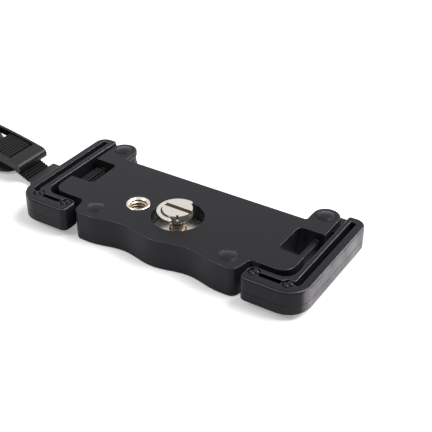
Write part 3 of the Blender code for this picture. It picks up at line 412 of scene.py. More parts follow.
def bonded_thread():
    """Bonded nylon thread: two twisted plies with a waxy shine."""
    material = new_material("bonded nylon thread")
    point = object_point(material)
    ply = node(material, "TexWave", {"bands_direction": "DIAGONAL"}, inputs={
        "Vector": point, "Scale": 1 / (WAVE_RADIANS * PLY_WAVE_MM * MM), "Distortion": 0.6})
    bump = node(material, "Bump", inputs={
        "Height": ply.outputs["Fac"], "Strength": 0.6, "Distance": 0.04 * MM})
    # The grooves between the plies are painted darker: painted shade.
    shade = node(material, "Mix", {"data_type": "RGBA"})
    shade.inputs[6].default_value = linear("101010")
    shade.inputs[7].default_value = linear("242425")
    link(material, ply.outputs["Fac"], shade.inputs[0])
    shader = node(material, "BsdfPrincipled", inputs={
        "Base Color": shade.outputs[2], "Roughness": 0.45, "Normal": bump.outputs["Normal"]})
    return finish_surface(material, shader.outputs["BSDF"])


THREAD = bonded_thread()
print("made:", THREAD.name)

# %% [markdown]
# ## Dressing the hard pieces
#
# A moulded edge is never quite sharp: the mould is cut with a small radius, and that radius is what
# catches the light. Each hard CAD piece is copied, its loose triangles are merged, and a narrow
# bevel rounds every sharp edge that is left. The plate's and the arms' bevels take a lighter,
# glossier finish, a painted highlight along their edges.
#
# The CAD keeps a gap of 0.3 mm round the pins, the plugs and the covers. The eye sees a finer line
# there, so these pieces are made a little wider.

# %% Dress a CAD piece
def body_of(name):
    """The body that a CAD piece rides on."""
    for body, members in frame["record"]["behaviour"]["bodies"].items():
        if name in members:
            return body
    return "plate"


def merged_copy(name):
    """A copy of a CAD piece's mesh with its triangles joined and its flat faces whole."""
    bm = bmesh.new()
    bm.from_mesh(frame["nodes"][name].data)
    bmesh.ops.remove_doubles(bm, verts=bm.verts, dist=0.002 * MM)
    bmesh.ops.dissolve_limit(bm, angle_limit=math.radians(0.5), verts=bm.verts, edges=bm.edges)
    return bm


def add_piece(name, bm, material, stands_for, body=None, smooth=40):
    """Turn a bmesh into a finished piece that rides on its body."""
    mesh = bpy.data.meshes.new(name)
    bm.to_mesh(mesh)
    bm.free()
    mesh.materials.append(material)
    mesh.shade_smooth()
    mesh.set_sharp_from_angle(angle=math.radians(smooth))
    piece = bpy.data.objects.new(name, mesh)
    bpy.context.scene.collection.objects.link(piece)
    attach(piece, body or body_of(stands_for))
    if stands_for:
        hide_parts(stands_for)
    return piece


def round_edges(piece, width_mm, segments=2, angle=35, edge_highlight=None, clamp=True):
    """A live bevel on every edge sharper than the angle; the wide faces still look flat."""
    step = piece.modifiers.new("rounded edges", "BEVEL")
    step.width = width_mm * MM
    step.segments = segments
    step.limit_method = "ANGLE"
    step.angle_limit = math.radians(angle)
    step.use_clamp_overlap = clamp
    if edge_highlight:
        piece.data.materials.append(edge_highlight)
        step.material = 1
    level = piece.modifiers.new("flat faces stay flat", "WEIGHTED_NORMAL")
    level.keep_sharp = True


def closer(bm, name):
    """Close the running gap of a seated piece to what the eye sees as a fine line."""
    low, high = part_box(name)
    for vert in bm.verts:
        side = Vector((vert.normal.x, vert.normal.y, 0))
        if side.length > 0.2:
            vert.co += side.normalized() * CLOSER_SIDE_MM[name.split("_")[0]] * MM
        if name.startswith("arm_cover") and vert.co.z > high.z - 0.01 * MM:
            vert.co.z += COVER_RISE_MM * MM


def dress(name, material, width_mm):
    """Stand a bevelled copy in for a CAD piece; the arms' bevels pass over their short edges."""
    bm = merged_copy(name)
    bm.normal_update()
    if name.split("_")[0] in CLOSER_SIDE_MM:
        closer(bm, name)
    piece = add_piece(name + "_dressed", bm, material, name)
    round_edges(piece, width_mm, edge_highlight=HIGHLIGHTED_EDGES.get(name), clamp=not name.startswith("strap_arm"))


CLOSER_SIDE_MM = {"arm": 0.08, "ear": 0.12, "cover": 0.16}
COVER_RISE_MM = 0.2
# Pieces whose bevels take the painted highlight.
HIGHLIGHTED_EDGES = {
    "base_plate": EDGE_HIGHLIGHT_NYLON, "strap_arm_left": ARM_EDGE_HIGHLIGHT_NYLON, "strap_arm_right": ARM_EDGE_HIGHLIGHT_NYLON,
}
HARD_PIECES = {
    "base_plate": (PLATE_NYLON, 0.3), "camera_face_pad": (RUBBER, 0.15),
    "strap_arm_left": (ARM_NYLON, 0.14), "strap_arm_right": (ARM_NYLON, 0.14),
    "arm_cover_left": (ARM_NYLON, 0.08), "arm_cover_right": (ARM_NYLON, 0.08),
    "ear_pin_left": (PLUG_ACETAL, 0.1), "ear_pin_right": (PLUG_ACETAL, 0.1),
    "cover_plug_left": (PLUG_ACETAL, 0.1), "cover_plug_right": (PLUG_ACETAL, 0.1),
    "tapped_disc": (DISC_NICKEL, 0.1), "d_ring": (NICKEL, 0.15),
    "thrust_washer": (WASHER_NYLON, 0.08),
    "strap_keeper": (SLIDER_ACETAL, 0.12), "ladder_slider": (SLIDER_ACETAL, 0.3),
}
for piece_name, (piece_material, edge_mm) in HARD_PIECES.items():
    dress(piece_name, piece_material, edge_mm)
print("hard pieces dressed:", len(HARD_PIECES))

# %% [markdown]
# ## Threads
#
# A real thread is one ridge that climbs round an axis. The pitch of a quarter inch screw is
# 1.27 mm, which is coarse enough to see. A section with sloping sides and a narrow flat crest is
# spun round the axis and lifted by one pitch for each turn, and its foot is sunk a little into the
# wall that carries it.

# %% Thread ridge
THREAD_PITCH = 1.27
THREAD_FOOT = 0.36
THREAD_CREST = 0.08
THREAD_STEPS = 32
THREAD_SUNK_MM = 0.05


def new_spun(profile_mm, centre, steps, closed=True):
    """A turned body from (radius, height) points in millimetres."""
    bm = bmesh.new()
    points = [bm.verts.new((radius * MM, 0, height * MM)) for radius, height in profile_mm]
    edges = [bm.edges.new(pair) for pair in zip(points, points[1:])]
    if closed:
        edges.append(bm.edges.new((points[-1], points[0])))
    bmesh.ops.spin(bm, geom=points + edges, cent=(0, 0, 0), axis=(0, 0, 1), dvec=(0, 0, 0),
                   angle=2 * math.pi, steps=steps, use_merge=True, use_duplicate=False)
    bmesh.ops.remove_doubles(bm, verts=bm.verts, dist=0.001 * MM)
    bmesh.ops.recalc_face_normals(bm, faces=bm.faces)
    bmesh.ops.translate(bm, verts=bm.verts, vec=centre)
    return bm


def thread_ridge(root_mm, crest_mm, low_mm, high_mm, centre):
    """A closed helical ridge from its root radius to its crest radius, between two heights."""
    bm = bmesh.new()
    half = THREAD_FOOT * THREAD_PITCH
    flat = THREAD_CREST * THREAD_PITCH
    corners = [(root_mm, low_mm - half), (crest_mm, low_mm - flat),
               (crest_mm, low_mm + flat), (root_mm, low_mm + half)]
    points = [bm.verts.new((radius * MM, 0, height * MM)) for radius, height in corners]
    face = bm.faces.new(points)
    turns = (high_mm - low_mm) / THREAD_PITCH
    steps = int(turns * THREAD_STEPS)
    climb = (high_mm - low_mm) * MM / steps
    bmesh.ops.spin(bm, geom=[face] + list(face.edges) + points, cent=(0, 0, 0), axis=(0, 0, 1),
                   dvec=(0, 0, climb), angle=2 * math.pi * turns, steps=steps, use_merge=False,
                   use_duplicate=False)
    bmesh.ops.recalc_face_normals(bm, faces=bm.faces)
    bmesh.ops.translate(bm, verts=bm.verts, vec=centre)
    return bm


def joined(*parts):
    """One bmesh from several."""
    whole = bmesh.new()
    for part in parts:
        mesh = bpy.data.meshes.new("part")
        part.to_mesh(mesh)
        part.free()
        whole.from_mesh(mesh)
        bpy.data.meshes.remove(mesh)
    return whole


# %% Tripod insert
insert_low, insert_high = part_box("tripod_thread_insert")
INSERT_AXIS = Vector(((insert_low.x + insert_high.x) / 2, (insert_low.y + insert_high.y) / 2, 0))
INSERT_FLANGE_MM = (insert_high.x - insert_low.x) / 2 / MM
insert_top = insert_high.z / MM
insert_base = insert_low.z / MM
INSERT_BORE_MM = 3.55
INSERT_MINOR_MM = 3.0
INSERT_BARREL_MM = 4.1
INSERT_EDGE_MM = 0.15
INSERT_LIP_MM = 0.9
INSERT_MOUTH_MM = ((0.0, 0.62), (0.42, 0.1), (0.56, 0.0))
INSERT_THREAD_FROM_MM = 0.7
INSERT_THREAD_TO_MM = 0.95
insert_profile = [(INSERT_BORE_MM, insert_base)]
insert_profile += [(INSERT_BORE_MM + out, insert_top - down) for out, down in INSERT_MOUTH_MM]
insert_profile += [
    (INSERT_FLANGE_MM - INSERT_EDGE_MM, insert_top), (INSERT_FLANGE_MM, insert_top - INSERT_EDGE_MM),
    (INSERT_FLANGE_MM, insert_top - INSERT_LIP_MM), (INSERT_BARREL_MM, insert_top - INSERT_LIP_MM),
    (INSERT_BARREL_MM, insert_base)]
insert_thread = thread_ridge(
    INSERT_BORE_MM + THREAD_SUNK_MM, INSERT_MINOR_MM, insert_base + INSERT_THREAD_FROM_MM,
    insert_top - INSERT_THREAD_TO_MM, INSERT_AXIS)
insert_bm = joined(new_spun(insert_profile, INSERT_AXIS, 64), insert_thread)
insert_piece = add_piece("tripod_insert_dressed", insert_bm, NICKEL, "tripod_thread_insert",
                         smooth=30)
insert_piece.data.materials.append(SHADED_THREAD_NICKEL)
# The bore and its thread take the thread finish with painted shade.
for face in insert_piece.data.polygons:
    if (face.center - INSERT_AXIS).to_2d().length < (INSERT_BORE_MM + 0.02) * MM:
        face.material_index = 1
print("tripod insert faces:", len(insert_piece.data.polygons))

# %% [markdown]
# ## The camera screw
#
# The head is turned from bar and plated. Its slot is sawn afterwards, so its crisp sides and floor
# are bare steel, darker than the head. A small notch is cut into the head's side as well. The shank
# is threaded. Blocks cut the slot and the notch and are then removed.

# %% Camera screw
screw_low, screw_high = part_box("camera_screw")
head_top = screw_high.z / MM
head_r = (screw_high.x - screw_low.x) / 2 / MM
HEAD_HEIGHT_MM = 3.5
SCREW_CREST_MM = 3.05
SCREW_ROOT_MM = 2.45
SCREW_TIP_MM = 0.4
SCREW_AXIS = Vector((0, 0, 0))
HEAD_EDGE_MM = 0.3
HEAD_SHOULDER_MM = 0.09
SCREW_THREAD_FROM_MM = 0.9
SCREW_THREAD_TO_MM = 1.3
head_base = head_top - HEAD_HEIGHT_MM
screw_profile = [
    (0, head_top), (head_r - HEAD_EDGE_MM, head_top),
    (head_r - HEAD_SHOULDER_MM, head_top - HEAD_SHOULDER_MM), (head_r, head_top - HEAD_EDGE_MM),
    (head_r, head_base + HEAD_EDGE_MM), (head_r - HEAD_EDGE_MM, head_base),
    (SCREW_ROOT_MM, head_base), (SCREW_ROOT_MM, SCREW_TIP_MM),
    (SCREW_ROOT_MM - SCREW_TIP_MM, 0.0), (0, 0.0)]
screw_body = new_spun(screw_profile, SCREW_AXIS, 64, closed=False)
screw_thread = thread_ridge(
    SCREW_ROOT_MM - THREAD_SUNK_MM, SCREW_CREST_MM, SCREW_THREAD_FROM_MM,
    head_base - SCREW_THREAD_TO_MM, SCREW_AXIS)
screw_piece = add_piece("camera_screw_dressed", screw_body, NICKEL, "camera_screw",
                        smooth=30)


def hidden_block(name, low_mm, high_mm, turn=0.0):
    """A box, turned round the screw's axis, that cuts a slot and then goes."""
    bm = bmesh.new()
    bmesh.ops.create_cube(bm, size=1.0)
    size = (Vector(high_mm) - Vector(low_mm)) * MM
    bmesh.ops.scale(bm, verts=bm.verts, vec=size)
    bmesh.ops.translate(bm, verts=bm.verts, vec=(Vector(low_mm) + Vector(high_mm)) * MM / 2)
    bmesh.ops.rotate(bm, verts=bm.verts, cent=(0, 0, 0), matrix=Matrix.Rotation(turn, 3, "Z"))
    mesh = bpy.data.meshes.new(name)
    bm.to_mesh(mesh)
    bm.free()
    block = bpy.data.objects.new(name, mesh)
    bpy.context.scene.collection.objects.link(block)
    return block


def cut_away(piece, cutters):
    """Cut the piece with each block, keep the result as plain mesh and remove the blocks."""
    for cutter in cutters:
        step = piece.modifiers.new("slot", "BOOLEAN")
        step.operation = "DIFFERENCE"
        step.solver = "EXACT"
        step.object = cutter
    bpy.context.view_layer.update()
    result = bpy.data.meshes.new_from_object(piece.evaluated_get(bpy.context.evaluated_depsgraph_get()))
    piece.modifiers.clear()
    piece.data = result
    for cutter in cutters:
        bpy.data.objects.remove(cutter)


SLOT_WIDTH_MM = 2.0
SLOT_DEPTH_MM = 1.6
NOTCH_MM = (0.9, 0.7, 2.4)
NOTCH_TURN = math.radians(33)
slot_block = hidden_block("slot_block", (-8, -SLOT_WIDTH_MM / 2, head_top - SLOT_DEPTH_MM),
                          (8, SLOT_WIDTH_MM / 2, head_top + 1))
notch_block = hidden_block("notch_block", (-NOTCH_MM[0] / 2, -head_r - 1, head_top - NOTCH_MM[2]),
                           (NOTCH_MM[0] / 2, NOTCH_MM[1] - head_r, head_top + 1), NOTCH_TURN)
cut_away(screw_piece, [slot_block, notch_block])
screw_piece.data.shade_smooth()
screw_piece.data.set_sharp_from_angle(angle=math.radians(30))
screw_piece.data.materials.append(SLOT_STEEL)
screw_piece.data.materials.append(SIDE_NICKEL)
for face in screw_piece.data.polygons:
    reach = face.center.to_2d().length
    deep = (head_top - SLOT_DEPTH_MM - 0.05) * MM < face.center.z < (head_top - 0.05) * MM
    narrow = abs(face.center.y) < (SLOT_WIDTH_MM / 2 + 0.02) * MM
    if deep and narrow and abs(face.center.x) < (head_r - 1) * MM:
        face.material_index = 1
    elif reach > (head_r - 0.1) * MM and face.center.z < (head_top - 0.4) * MM:
        face.material_index = 2
round_edges(screw_piece, 0.08)
thread_piece = add_piece("camera_screw_thread", screw_thread, SHADED_THREAD_NICKEL, "camera_screw",
                         smooth=30)
print("screw head radius:", round(head_r, 2), "mm")

# %% [markdown]
# ## The arm screws
#
# Each arm is closed by two small moulded screws. A wide slot leaves two round lobes on the head,
# which sit in a shallow seat. Each lobe is a squashed ball, half sunk into the head's disc.

# %% Lobed screw heads
LOBE_ANGLE = math.radians(62)
LOBE_OFFSET_MM = 0.92
LOBE_RADIUS_MM = (1.0, 1.6, 1.15)
LOBE_LIFT_MM = 0.2
SEAT_CLOSER_MM = 0.2
SEAT_DOWN_MM = 1.3
DISC_RIM_MM = ((0.3, 0.42), (0.1, 0.3), (0.0, 0.05), (0.0, -0.1))
STEM_MM = 0.9


def lobed_screw(name):
    """A disc and a stem that are turned in one, with two lobes on top."""
    low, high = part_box(name)
    axis = Vector(((low.x + high.x) / 2, (low.y + high.y) / 2, 0))
    radius = (high.x - low.x) / 2 / MM + SEAT_CLOSER_MM
    seat = high.z / MM - SEAT_DOWN_MM
    rim = [(radius - inward, seat + rise) for inward, rise in DISC_RIM_MM]
    stem = [(STEM_MM, rim[-1][1]), (STEM_MM, low.z / MM), (0, low.z / MM)]
    disc = [(0, rim[0][1])] + rim + stem
    parts = [new_spun(disc, axis, 40, closed=False)]
    for side in (1, -1):
        ball = bmesh.new()
        bmesh.ops.create_uvsphere(ball, u_segments=20, v_segments=12, radius=1.0)
        bmesh.ops.scale(ball, verts=ball.verts, vec=Vector(LOBE_RADIUS_MM) * MM)
        place = Vector((side * LOBE_OFFSET_MM * MM, 0, (seat + LOBE_LIFT_MM) * MM))
        bmesh.ops.translate(ball, verts=ball.verts, vec=place)
        bmesh.ops.rotate(ball, verts=ball.verts, cent=(0, 0, 0),
                         matrix=Matrix.Rotation(LOBE_ANGLE, 3, "Z"))
        bmesh.ops.translate(ball, verts=ball.verts, vec=axis)
        parts.append(ball)
    add_piece(name + "_dressed", joined(*parts), PLUG_ACETAL, name, smooth=50)


ARM_SCREW_PLACES = ("outer_left", "outer_right", "inner_left", "inner_right")
for place_name in ARM_SCREW_PLACES:
    lobed_screw("arm_screw_" + place_name)
print("lobed screws:", len(ARM_SCREW_PLACES))

# %% [markdown]
# ## Woven straps
#
# Nylon webbing is a thick band with ribs straight across it. The route of each strap is read from
# the front face of its CAD solid: the face's rim runs along one side of the band, round its cut
# end and back along the other, so one side moved in by half the thickness is the middle line. A
# grid is then wrapped round that line, one row of faces for each quarter of a millimetre or so. The
# rows swell at each rib and draw in between the ribs.

# %% Route of a strap
STATION_MM = 0.26
SQUARE_COSINE = 0.2
CUT_END_MM = 1.3
LINE_EASING = 5


def strap_rim(name):
    """The rim of the strap's front face, as (x, z) points in order."""
    bm = bmesh.new()
    bm.from_mesh(frame["nodes"][name].data)
    bmesh.ops.remove_doubles(bm, verts=bm.verts, dist=0.002 * MM)
    front = min(vert.co.y for vert in bm.verts)
    flat = {face for face in bm.faces if all(abs(vert.co.y - front) < 0.01 * MM for vert in face.verts)}
    partners = {}
    for edge in bm.edges:
        if sum(face in flat for face in edge.link_faces) == 1:
            first, second = edge.verts
            partners.setdefault(first, []).append(second)
            partners.setdefault(second, []).append(first)
    start = next(iter(partners))
    loop = [start]
    previous, here = None, start
    while True:
        following = [vert for vert in partners[here] if vert is not previous][0]
        if following is start:
            break
        loop.append(following)
        previous, here = here, following
    points = [Vector((vert.co.x, vert.co.z)) for vert in loop]
    bm.free()
    return points


def strap_route(name):
    """Middle line of a strap and its thickness, in metres."""
    rim = strap_rim(name)
    count = len(rim)
    ends = []
    for index in range(count):
        before, here = rim[index - 1], rim[index]
        after, beyond = rim[(index + 1) % count], rim[(index + 2) % count]
        edge = (after - here).normalized()
        first_bend = abs(edge.dot((here - before).normalized()))
        second_bend = abs(edge.dot((beyond - after).normalized()))
        square = first_bend < SQUARE_COSINE and second_bend < SQUARE_COSINE
        if square and (after - here).length < CUT_END_MM * MM:
            ends.append(index)
    first, last = ends[0], ends[1]
    thickness = (rim[(first + 1) % count] - rim[first]).length
    side = rim[first + 1:last + 1]
    area = sum(a.x * b.y - b.x * a.y for a, b in zip(rim, rim[1:] + rim[:1]))
    turn = 1 if area > 0 else -1
    line = []
    for index, here in enumerate(side):
        back = (here - side[max(index - 1, 0)]).normalized() if index else (side[1] - here).normalized()
        ahead = (side[index + 1] - here).normalized() if index < len(side) - 1 else back
        along = (back + ahead).normalized()
        reach = turn * thickness / 2 / max(along.dot(ahead), 0.3)
        line.append(here + Vector((-along.y, along.x)) * reach)
    return line, thickness


def even_line(line, step):
    """The same line with points at even steps, eased a little at its corners."""
    points = np.array([tuple(point) for point in line])
    reach = np.concatenate([[0], np.cumsum(np.linalg.norm(np.diff(points, axis=0), axis=1))])
    count = int(reach[-1] / step)
    marks = np.linspace(0, reach[-1], count + 1)
    even = np.stack([np.interp(marks, reach, points[:, axis]) for axis in (0, 1)], axis=1)
    for _ in range(LINE_EASING):
        even[1:-1] = 0.25 * even[:-2] + 0.5 * even[1:-1] + 0.25 * even[2:]
    return even, marks


# %% Weave a strap
COLUMNS = 26
RIB_RELIEF = 0.42
RIB_FULLNESS = 0.6
SCALLOP_MM = 0.28
EDGE_ROUND_MM = 0.4
EDGE_CROWDING = 1.6


def woven_strap(name):
    """A ribbed band along the route of a CAD strap, with its columns crowded at both edges."""
    low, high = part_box(name)
    line, thickness = strap_route(name)
    even, marks = even_line(line, STATION_MM * MM)
    tangent = np.gradient(even, axis=0)
    tangent /= np.linalg.norm(tangent, axis=1)[:, None]
    normal = np.stack([-tangent[:, 1], tangent[:, 0]], axis=1)
    half_width = (high.y - low.y) / 2
    middle_y = (high.y + low.y) / 2
    stations = len(even)
    around = 2 * COLUMNS
    bm = bmesh.new()
    cloth_map = bm.loops.layers.uv.new("strap")
    bmesh.ops.create_grid(bm, x_segments=stations - 1, y_segments=around, size=1.0)
    marks_of = {}
    for vert in bm.verts:
        station = round((vert.co.x + 1) / 2 * (stations - 1))
        step = round((vert.co.y + 1) / 2 * around)
        top = step <= COLUMNS
        share = step / COLUMNS if top else (around - step) / COLUMNS
        reach = 2 * share - 1
        across = math.copysign(1 - (1 - abs(reach)) ** EDGE_CROWDING, reach)
        rib = (0.5 + 0.5 * math.cos(2 * math.pi * marks[station] / (RIB_MM * MM))) ** RIB_FULLNESS
        wide = half_width - SCALLOP_MM * MM * (1 - rib)
        margin = max(0.0, 1 - (1 - abs(across)) * half_width / (EDGE_ROUND_MM * MM))
        height = thickness / 2 * (1 - RIB_RELIEF * (1 - rib)) * math.sqrt(max(0.0, 1 - margin ** 2))
        offset = height if top else -height
        marks_of[vert] = (marks[station], across * half_width)
        vert.co = (even[station][0] + normal[station][0] * offset, middle_y + across * wide,
                   even[station][1] + normal[station][1] * offset)
    for face in bm.faces:
        for loop in face.loops:
            loop[cloth_map].uv = marks_of[loop.vert]
    bmesh.ops.remove_doubles(bm, verts=bm.verts, dist=0.0005 * MM)
    bmesh.ops.holes_fill(bm, edges=[edge for edge in bm.edges if edge.is_boundary], sides=0)
    bmesh.ops.recalc_face_normals(bm, faces=bm.faces)
    piece = add_piece(name + "_woven", bm, WEBBING, name, smooth=80)
    print(name, "length", round(marks[-1] / MM, 1), "mm, faces", len(piece.data.polygons))


for strap_name in ("adjusting_webbing", "anchor_loop", "camera_loop_webbing"):
    woven_strap(strap_name)

# %% [markdown]
# ## The hand pad
#
# The pad is a leather shell over foam. Its CAD solid is shrunk a little and remeshed into small even
# faces. Cloth with air pressure then swells it, while its rim is pinned as the real seam pins it,
# and no point may move more than a millimetre and a half. The skin is then smoothed, and a channel
# is pressed in along the seam.

# %% Outline of the pad
OUTLINE_POINTS = 160
pad_low, pad_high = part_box("hand_pad")
pad_middle_y = (pad_low.y + pad_high.y) / 2


def pad_half_widths():
    """Half the pad's width at the rings of its CAD solid, from tip to tip."""
    widths = {}
    for vert in frame["nodes"]["hand_pad"].data.vertices:
        key = round(vert.co.x / MM, 1)
        widths[key] = max(widths.get(key, 0.0), abs(vert.co.y - pad_middle_y))
    places = sorted(widths)
    return np.array(places) * MM, np.array([widths[place] for place in places])


ring_x, ring_half = pad_half_widths()
outline_x = np.concatenate([
    np.linspace(pad_low.x, pad_high.x, OUTLINE_POINTS),
    np.linspace(pad_high.x, pad_low.x, OUTLINE_POINTS)])
outline_side = np.concatenate([np.ones(OUTLINE_POINTS), -np.ones(OUTLINE_POINTS)])
outline_y = pad_middle_y + outline_side * np.interp(outline_x, ring_x, ring_half)
outline_tree = KDTree(len(outline_x))
for index, (x, y) in enumerate(zip(outline_x, outline_y)):
    outline_tree.insert((x, y, 0), index)
outline_tree.balance()
print("pad outline points:", len(outline_x))


def rim_distance(point):
    """Distance from the pad's outline, seen from above."""
    return outline_tree.find((point.x, point.y, 0))[2]


# %% Swell the pad
PAD_VOXEL_MM = 1.1
PAD_SHRINK_MM = 0.45
PAD_MOST_MM = 1.5
PAD_RIM_MM = 3.2
PAD_FRAMES = 20


def remeshed(bm, voxel_mm):
    """A copy of a closed shape in small even faces."""
    mesh = bpy.data.meshes.new("pad")
    bm.to_mesh(mesh)
    bm.free()
    holder = bpy.data.objects.new("pad_blank", mesh)
    bpy.context.scene.collection.objects.link(holder)
    step = holder.modifiers.new("even faces", "REMESH")
    step.mode = "VOXEL"
    step.voxel_size = voxel_mm * MM
    bpy.context.view_layer.update()
    even = bpy.data.meshes.new_from_object(holder.evaluated_get(bpy.context.evaluated_depsgraph_get()))
    bpy.data.objects.remove(holder)
    return even


def swollen(mesh):
    """Swell a closed mesh with cloth pressure, its rim pinned, and cap how far each point moves."""
    cushion = bpy.data.objects.new("pad_cloth", mesh)
    bpy.context.scene.collection.objects.link(cushion)
    rest = [vert.co.copy() for vert in mesh.vertices]
    pins = cushion.vertex_groups.new(name="rim")
    for vert in mesh.vertices:
        if rim_distance(vert.co) < PAD_RIM_MM * MM:
            pins.add([vert.index], 1.0, "REPLACE")
    cloth = cushion.modifiers.new("air pressure", "CLOTH")
    cloth.settings.quality = 6
    cloth.settings.mass = 0.2
    cloth.settings.use_pressure = True
    cloth.settings.uniform_pressure_force = 4.0
    cloth.settings.vertex_group_mass = "rim"
    cloth.settings.effector_weights.gravity = 0.0
    cloth.point_cache.frame_start = 1
    cloth.point_cache.frame_end = PAD_FRAMES
    for frame_number in range(1, PAD_FRAMES + 1):
        bpy.context.scene.frame_set(frame_number)
    moved = cushion.evaluated_get(bpy.context.evaluated_depsgraph_get()).to_mesh()
    farthest = 0.0
    for vert, start, after in zip(mesh.vertices, rest, moved.vertices):
        shift = after.co - start
        farthest = max(farthest, shift.length)
        if shift.length > PAD_MOST_MM * MM:
            shift *= PAD_MOST_MM * MM / shift.length
        vert.co = start + shift
    bpy.data.objects.remove(cushion)
    bpy.context.scene.frame_set(1)
    print("pad swelled by up to", round(farthest / MM, 2), "mm before the cap")
    return mesh


pad_bm = merged_copy("hand_pad")
pad_bm.normal_update()
for vert in pad_bm.verts:
    vert.co -= vert.normal * PAD_SHRINK_MM * MM
pad_mesh = remeshed(pad_bm, PAD_VOXEL_MM)
pad_mesh = swollen(pad_mesh)

# %% Seam channel
SEAM_INSET_MM = 4.6
SEAM_WIDTH_MM = 0.9
SEAM_DEPTH_MM = 0.75
PAD_EASING = 14
PAD_LOWEST_MM = 0.02
finished_pad = bmesh.new()
finished_pad.from_mesh(pad_mesh)
for _ in range(PAD_EASING):
    bmesh.ops.smooth_vert(finished_pad, verts=finished_pad.verts, factor=0.5,
                          use_axis_x=True, use_axis_y=True, use_axis_z=True)
bmesh.ops.subdivide_edges(finished_pad, edges=finished_pad.edges, cuts=1, use_grid_fill=True, smooth=0.6)
finished_pad.normal_update()
for vert in finished_pad.verts:
    away = (rim_distance(vert.co) / MM - SEAM_INSET_MM) / SEAM_WIDTH_MM
    vert.co -= vert.normal * SEAM_DEPTH_MM * MM * math.exp(-away * away)
    vert.co.z = max(vert.co.z, PAD_LOWEST_MM * MM)
pad_piece = add_piece("hand_pad_padded", finished_pad, LEATHER, "hand_pad", smooth=80)
pad_piece.modifiers.new("flat faces stay flat", "WEIGHTED_NORMAL")
print("pad faces:", len(pad_piece.data.polygons))

# %% [markdown]
# ## Stitches
#
# Bonded thread holds the pad's seam. Each stitch is a small plump bead of thread that lies along the
# seam, with a gap where the thread dives through the leather. A ray from above and one from below
# find the leather at each place, so both faces of the pad are stitched.

# %% Stitch helpers
STITCH_MM = (1.15, 0.26, 0.22)
STITCH_PITCH_MM = 2.6
STITCH_LIFT_MM = 0.03
STITCH_RAYS = ((0.1, -1), (-0.1, 1))


def add_stitch(bm, centre, along, up):
    """One bead of thread, lying along a direction on a surface."""
    side = up.cross(along).normalized()
    along = side.cross(up).normalized()
    turned = Matrix((along, side, up)).transposed()
    made = bmesh.ops.create_uvsphere(bm, u_segments=8, v_segments=5, radius=1.0)
    bmesh.ops.scale(bm, verts=made["verts"], vec=Vector(STITCH_MM) * MM)
    bmesh.ops.rotate(bm, verts=made["verts"], cent=(0, 0, 0), matrix=turned)
    bmesh.ops.translate(bm, verts=made["verts"], vec=centre)


def seam_places():
    """Points along the pad's seam and the direction of the seam there, seen from above."""
    inset = SEAM_INSET_MM * MM
    ring = []
    for index in range(len(outline_x)):
        second = (index + 2) % len(outline_x)
        here = Vector((outline_x[index], outline_y[index]))
        after = Vector((outline_x[second], outline_y[second]))
        before = Vector((outline_x[index - 2], outline_y[index - 2]))
        along = (after - before).normalized()
        inward = Vector((along.y, -along.x))
        ring.append(here + inward * inset)
    ring = [point for point in ring if rim_distance(point.to_3d()) > 0.93 * inset]
    points = np.array([tuple(point) for point in ring + ring[:1]])
    reach = np.concatenate([[0], np.cumsum(np.linalg.norm(np.diff(points, axis=0), axis=1))])
    count = int(reach[-1] / (STITCH_PITCH_MM * MM))
    marks = np.linspace(0, reach[-1], count, endpoint=False)
    places = []
    for mark in marks:
        here = Vector([float(np.interp(mark, reach, points[:, axis])) for axis in (0, 1)])
        ahead = Vector([float(np.interp(mark + 0.5 * MM, reach, points[:, axis])) for axis in (0, 1)])
        places.append((here, (ahead - here).normalized()))
    return places


# %% Pad stitches
pad_surface = BVHTree.FromObject(pad_piece, bpy.context.evaluated_depsgraph_get())
stitch_bm = bmesh.new()
for place, direction in seam_places():
    for height, down in STITCH_RAYS:
        hit, up, _, _ = pad_surface.ray_cast(Vector((place.x, place.y, height)), Vector((0, 0, down)))
        if hit is not None:
            add_stitch(stitch_bm, hit + up * STITCH_LIFT_MM * MM, direction.to_3d(), up)
pad_stitches = add_piece("pad_seam_stitches", stitch_bm, THREAD, None, body="plate",
                         smooth=80)
print("stitch faces:", len(pad_stitches.data.polygons))

# %% [markdown]
# ## The table and the light
#
# The plate lies flat on white paper. The paper lies a hair below the object, so that no two faces
# share a plane, and it glows a little for the camera alone, so that it reads as plain white.

# %% Table
TABLE_DROP_MM = 0.05
TABLE_REACH_M = 3.0
table_mesh = bpy.data.meshes.new("table")
table_bm = bmesh.new()
bmesh.ops.create_grid(table_bm, x_segments=1, y_segments=1, size=TABLE_REACH_M)
bmesh.ops.translate(table_bm, verts=table_bm.verts, vec=(0, 0, -TABLE_DROP_MM * MM))
table_bm.to_mesh(table_mesh)
table_bm.free()
table = bpy.data.objects.new("table", table_mesh)
bpy.context.scene.collection.objects.link(table)


def seen_directly(material):
    """1 for what the camera sees directly, in a mirror or through glass, and 0 for other light."""
    path = node(material, "LightPath")
    first = node(material, "Math", {"operation": "MAXIMUM"})
    link(material, path.outputs["Is Camera Ray"], first.inputs[0])
    link(material, path.outputs["Is Glossy Ray"], first.inputs[1])
    second = node(material, "Math", {"operation": "MAXIMUM"})
    link(material, first.outputs["Value"], second.inputs[0])
    link(material, path.outputs["Is Transmission Ray"], second.inputs[1])
    return second.outputs["Value"]


TABLE_GLOW = 0.3
table_white = new_material("white paper table")
paper = node(table_white, "BsdfDiffuse", inputs={"Color": linear("f2f2f2")})
glow_amount = node(table_white, "Math", {"operation": "MULTIPLY"})
link(table_white, seen_directly(table_white), glow_amount.inputs[0])
glow_amount.inputs[1].default_value = TABLE_GLOW
glow = node(table_white, "Emission", inputs={
    "Color": (1, 1, 1, 1), "Strength": glow_amount.outputs["Value"]})
both = node(table_white, "AddShader")
link(table_white, paper.outputs["BSDF"], both.inputs[0])
link(table_white, glow.outputs["Emission"], both.inputs[1])
finish_surface(table_white, both.outputs["Shader"])
table_mesh.materials.append(table_white)
print("table glow:", TABLE_GLOW)

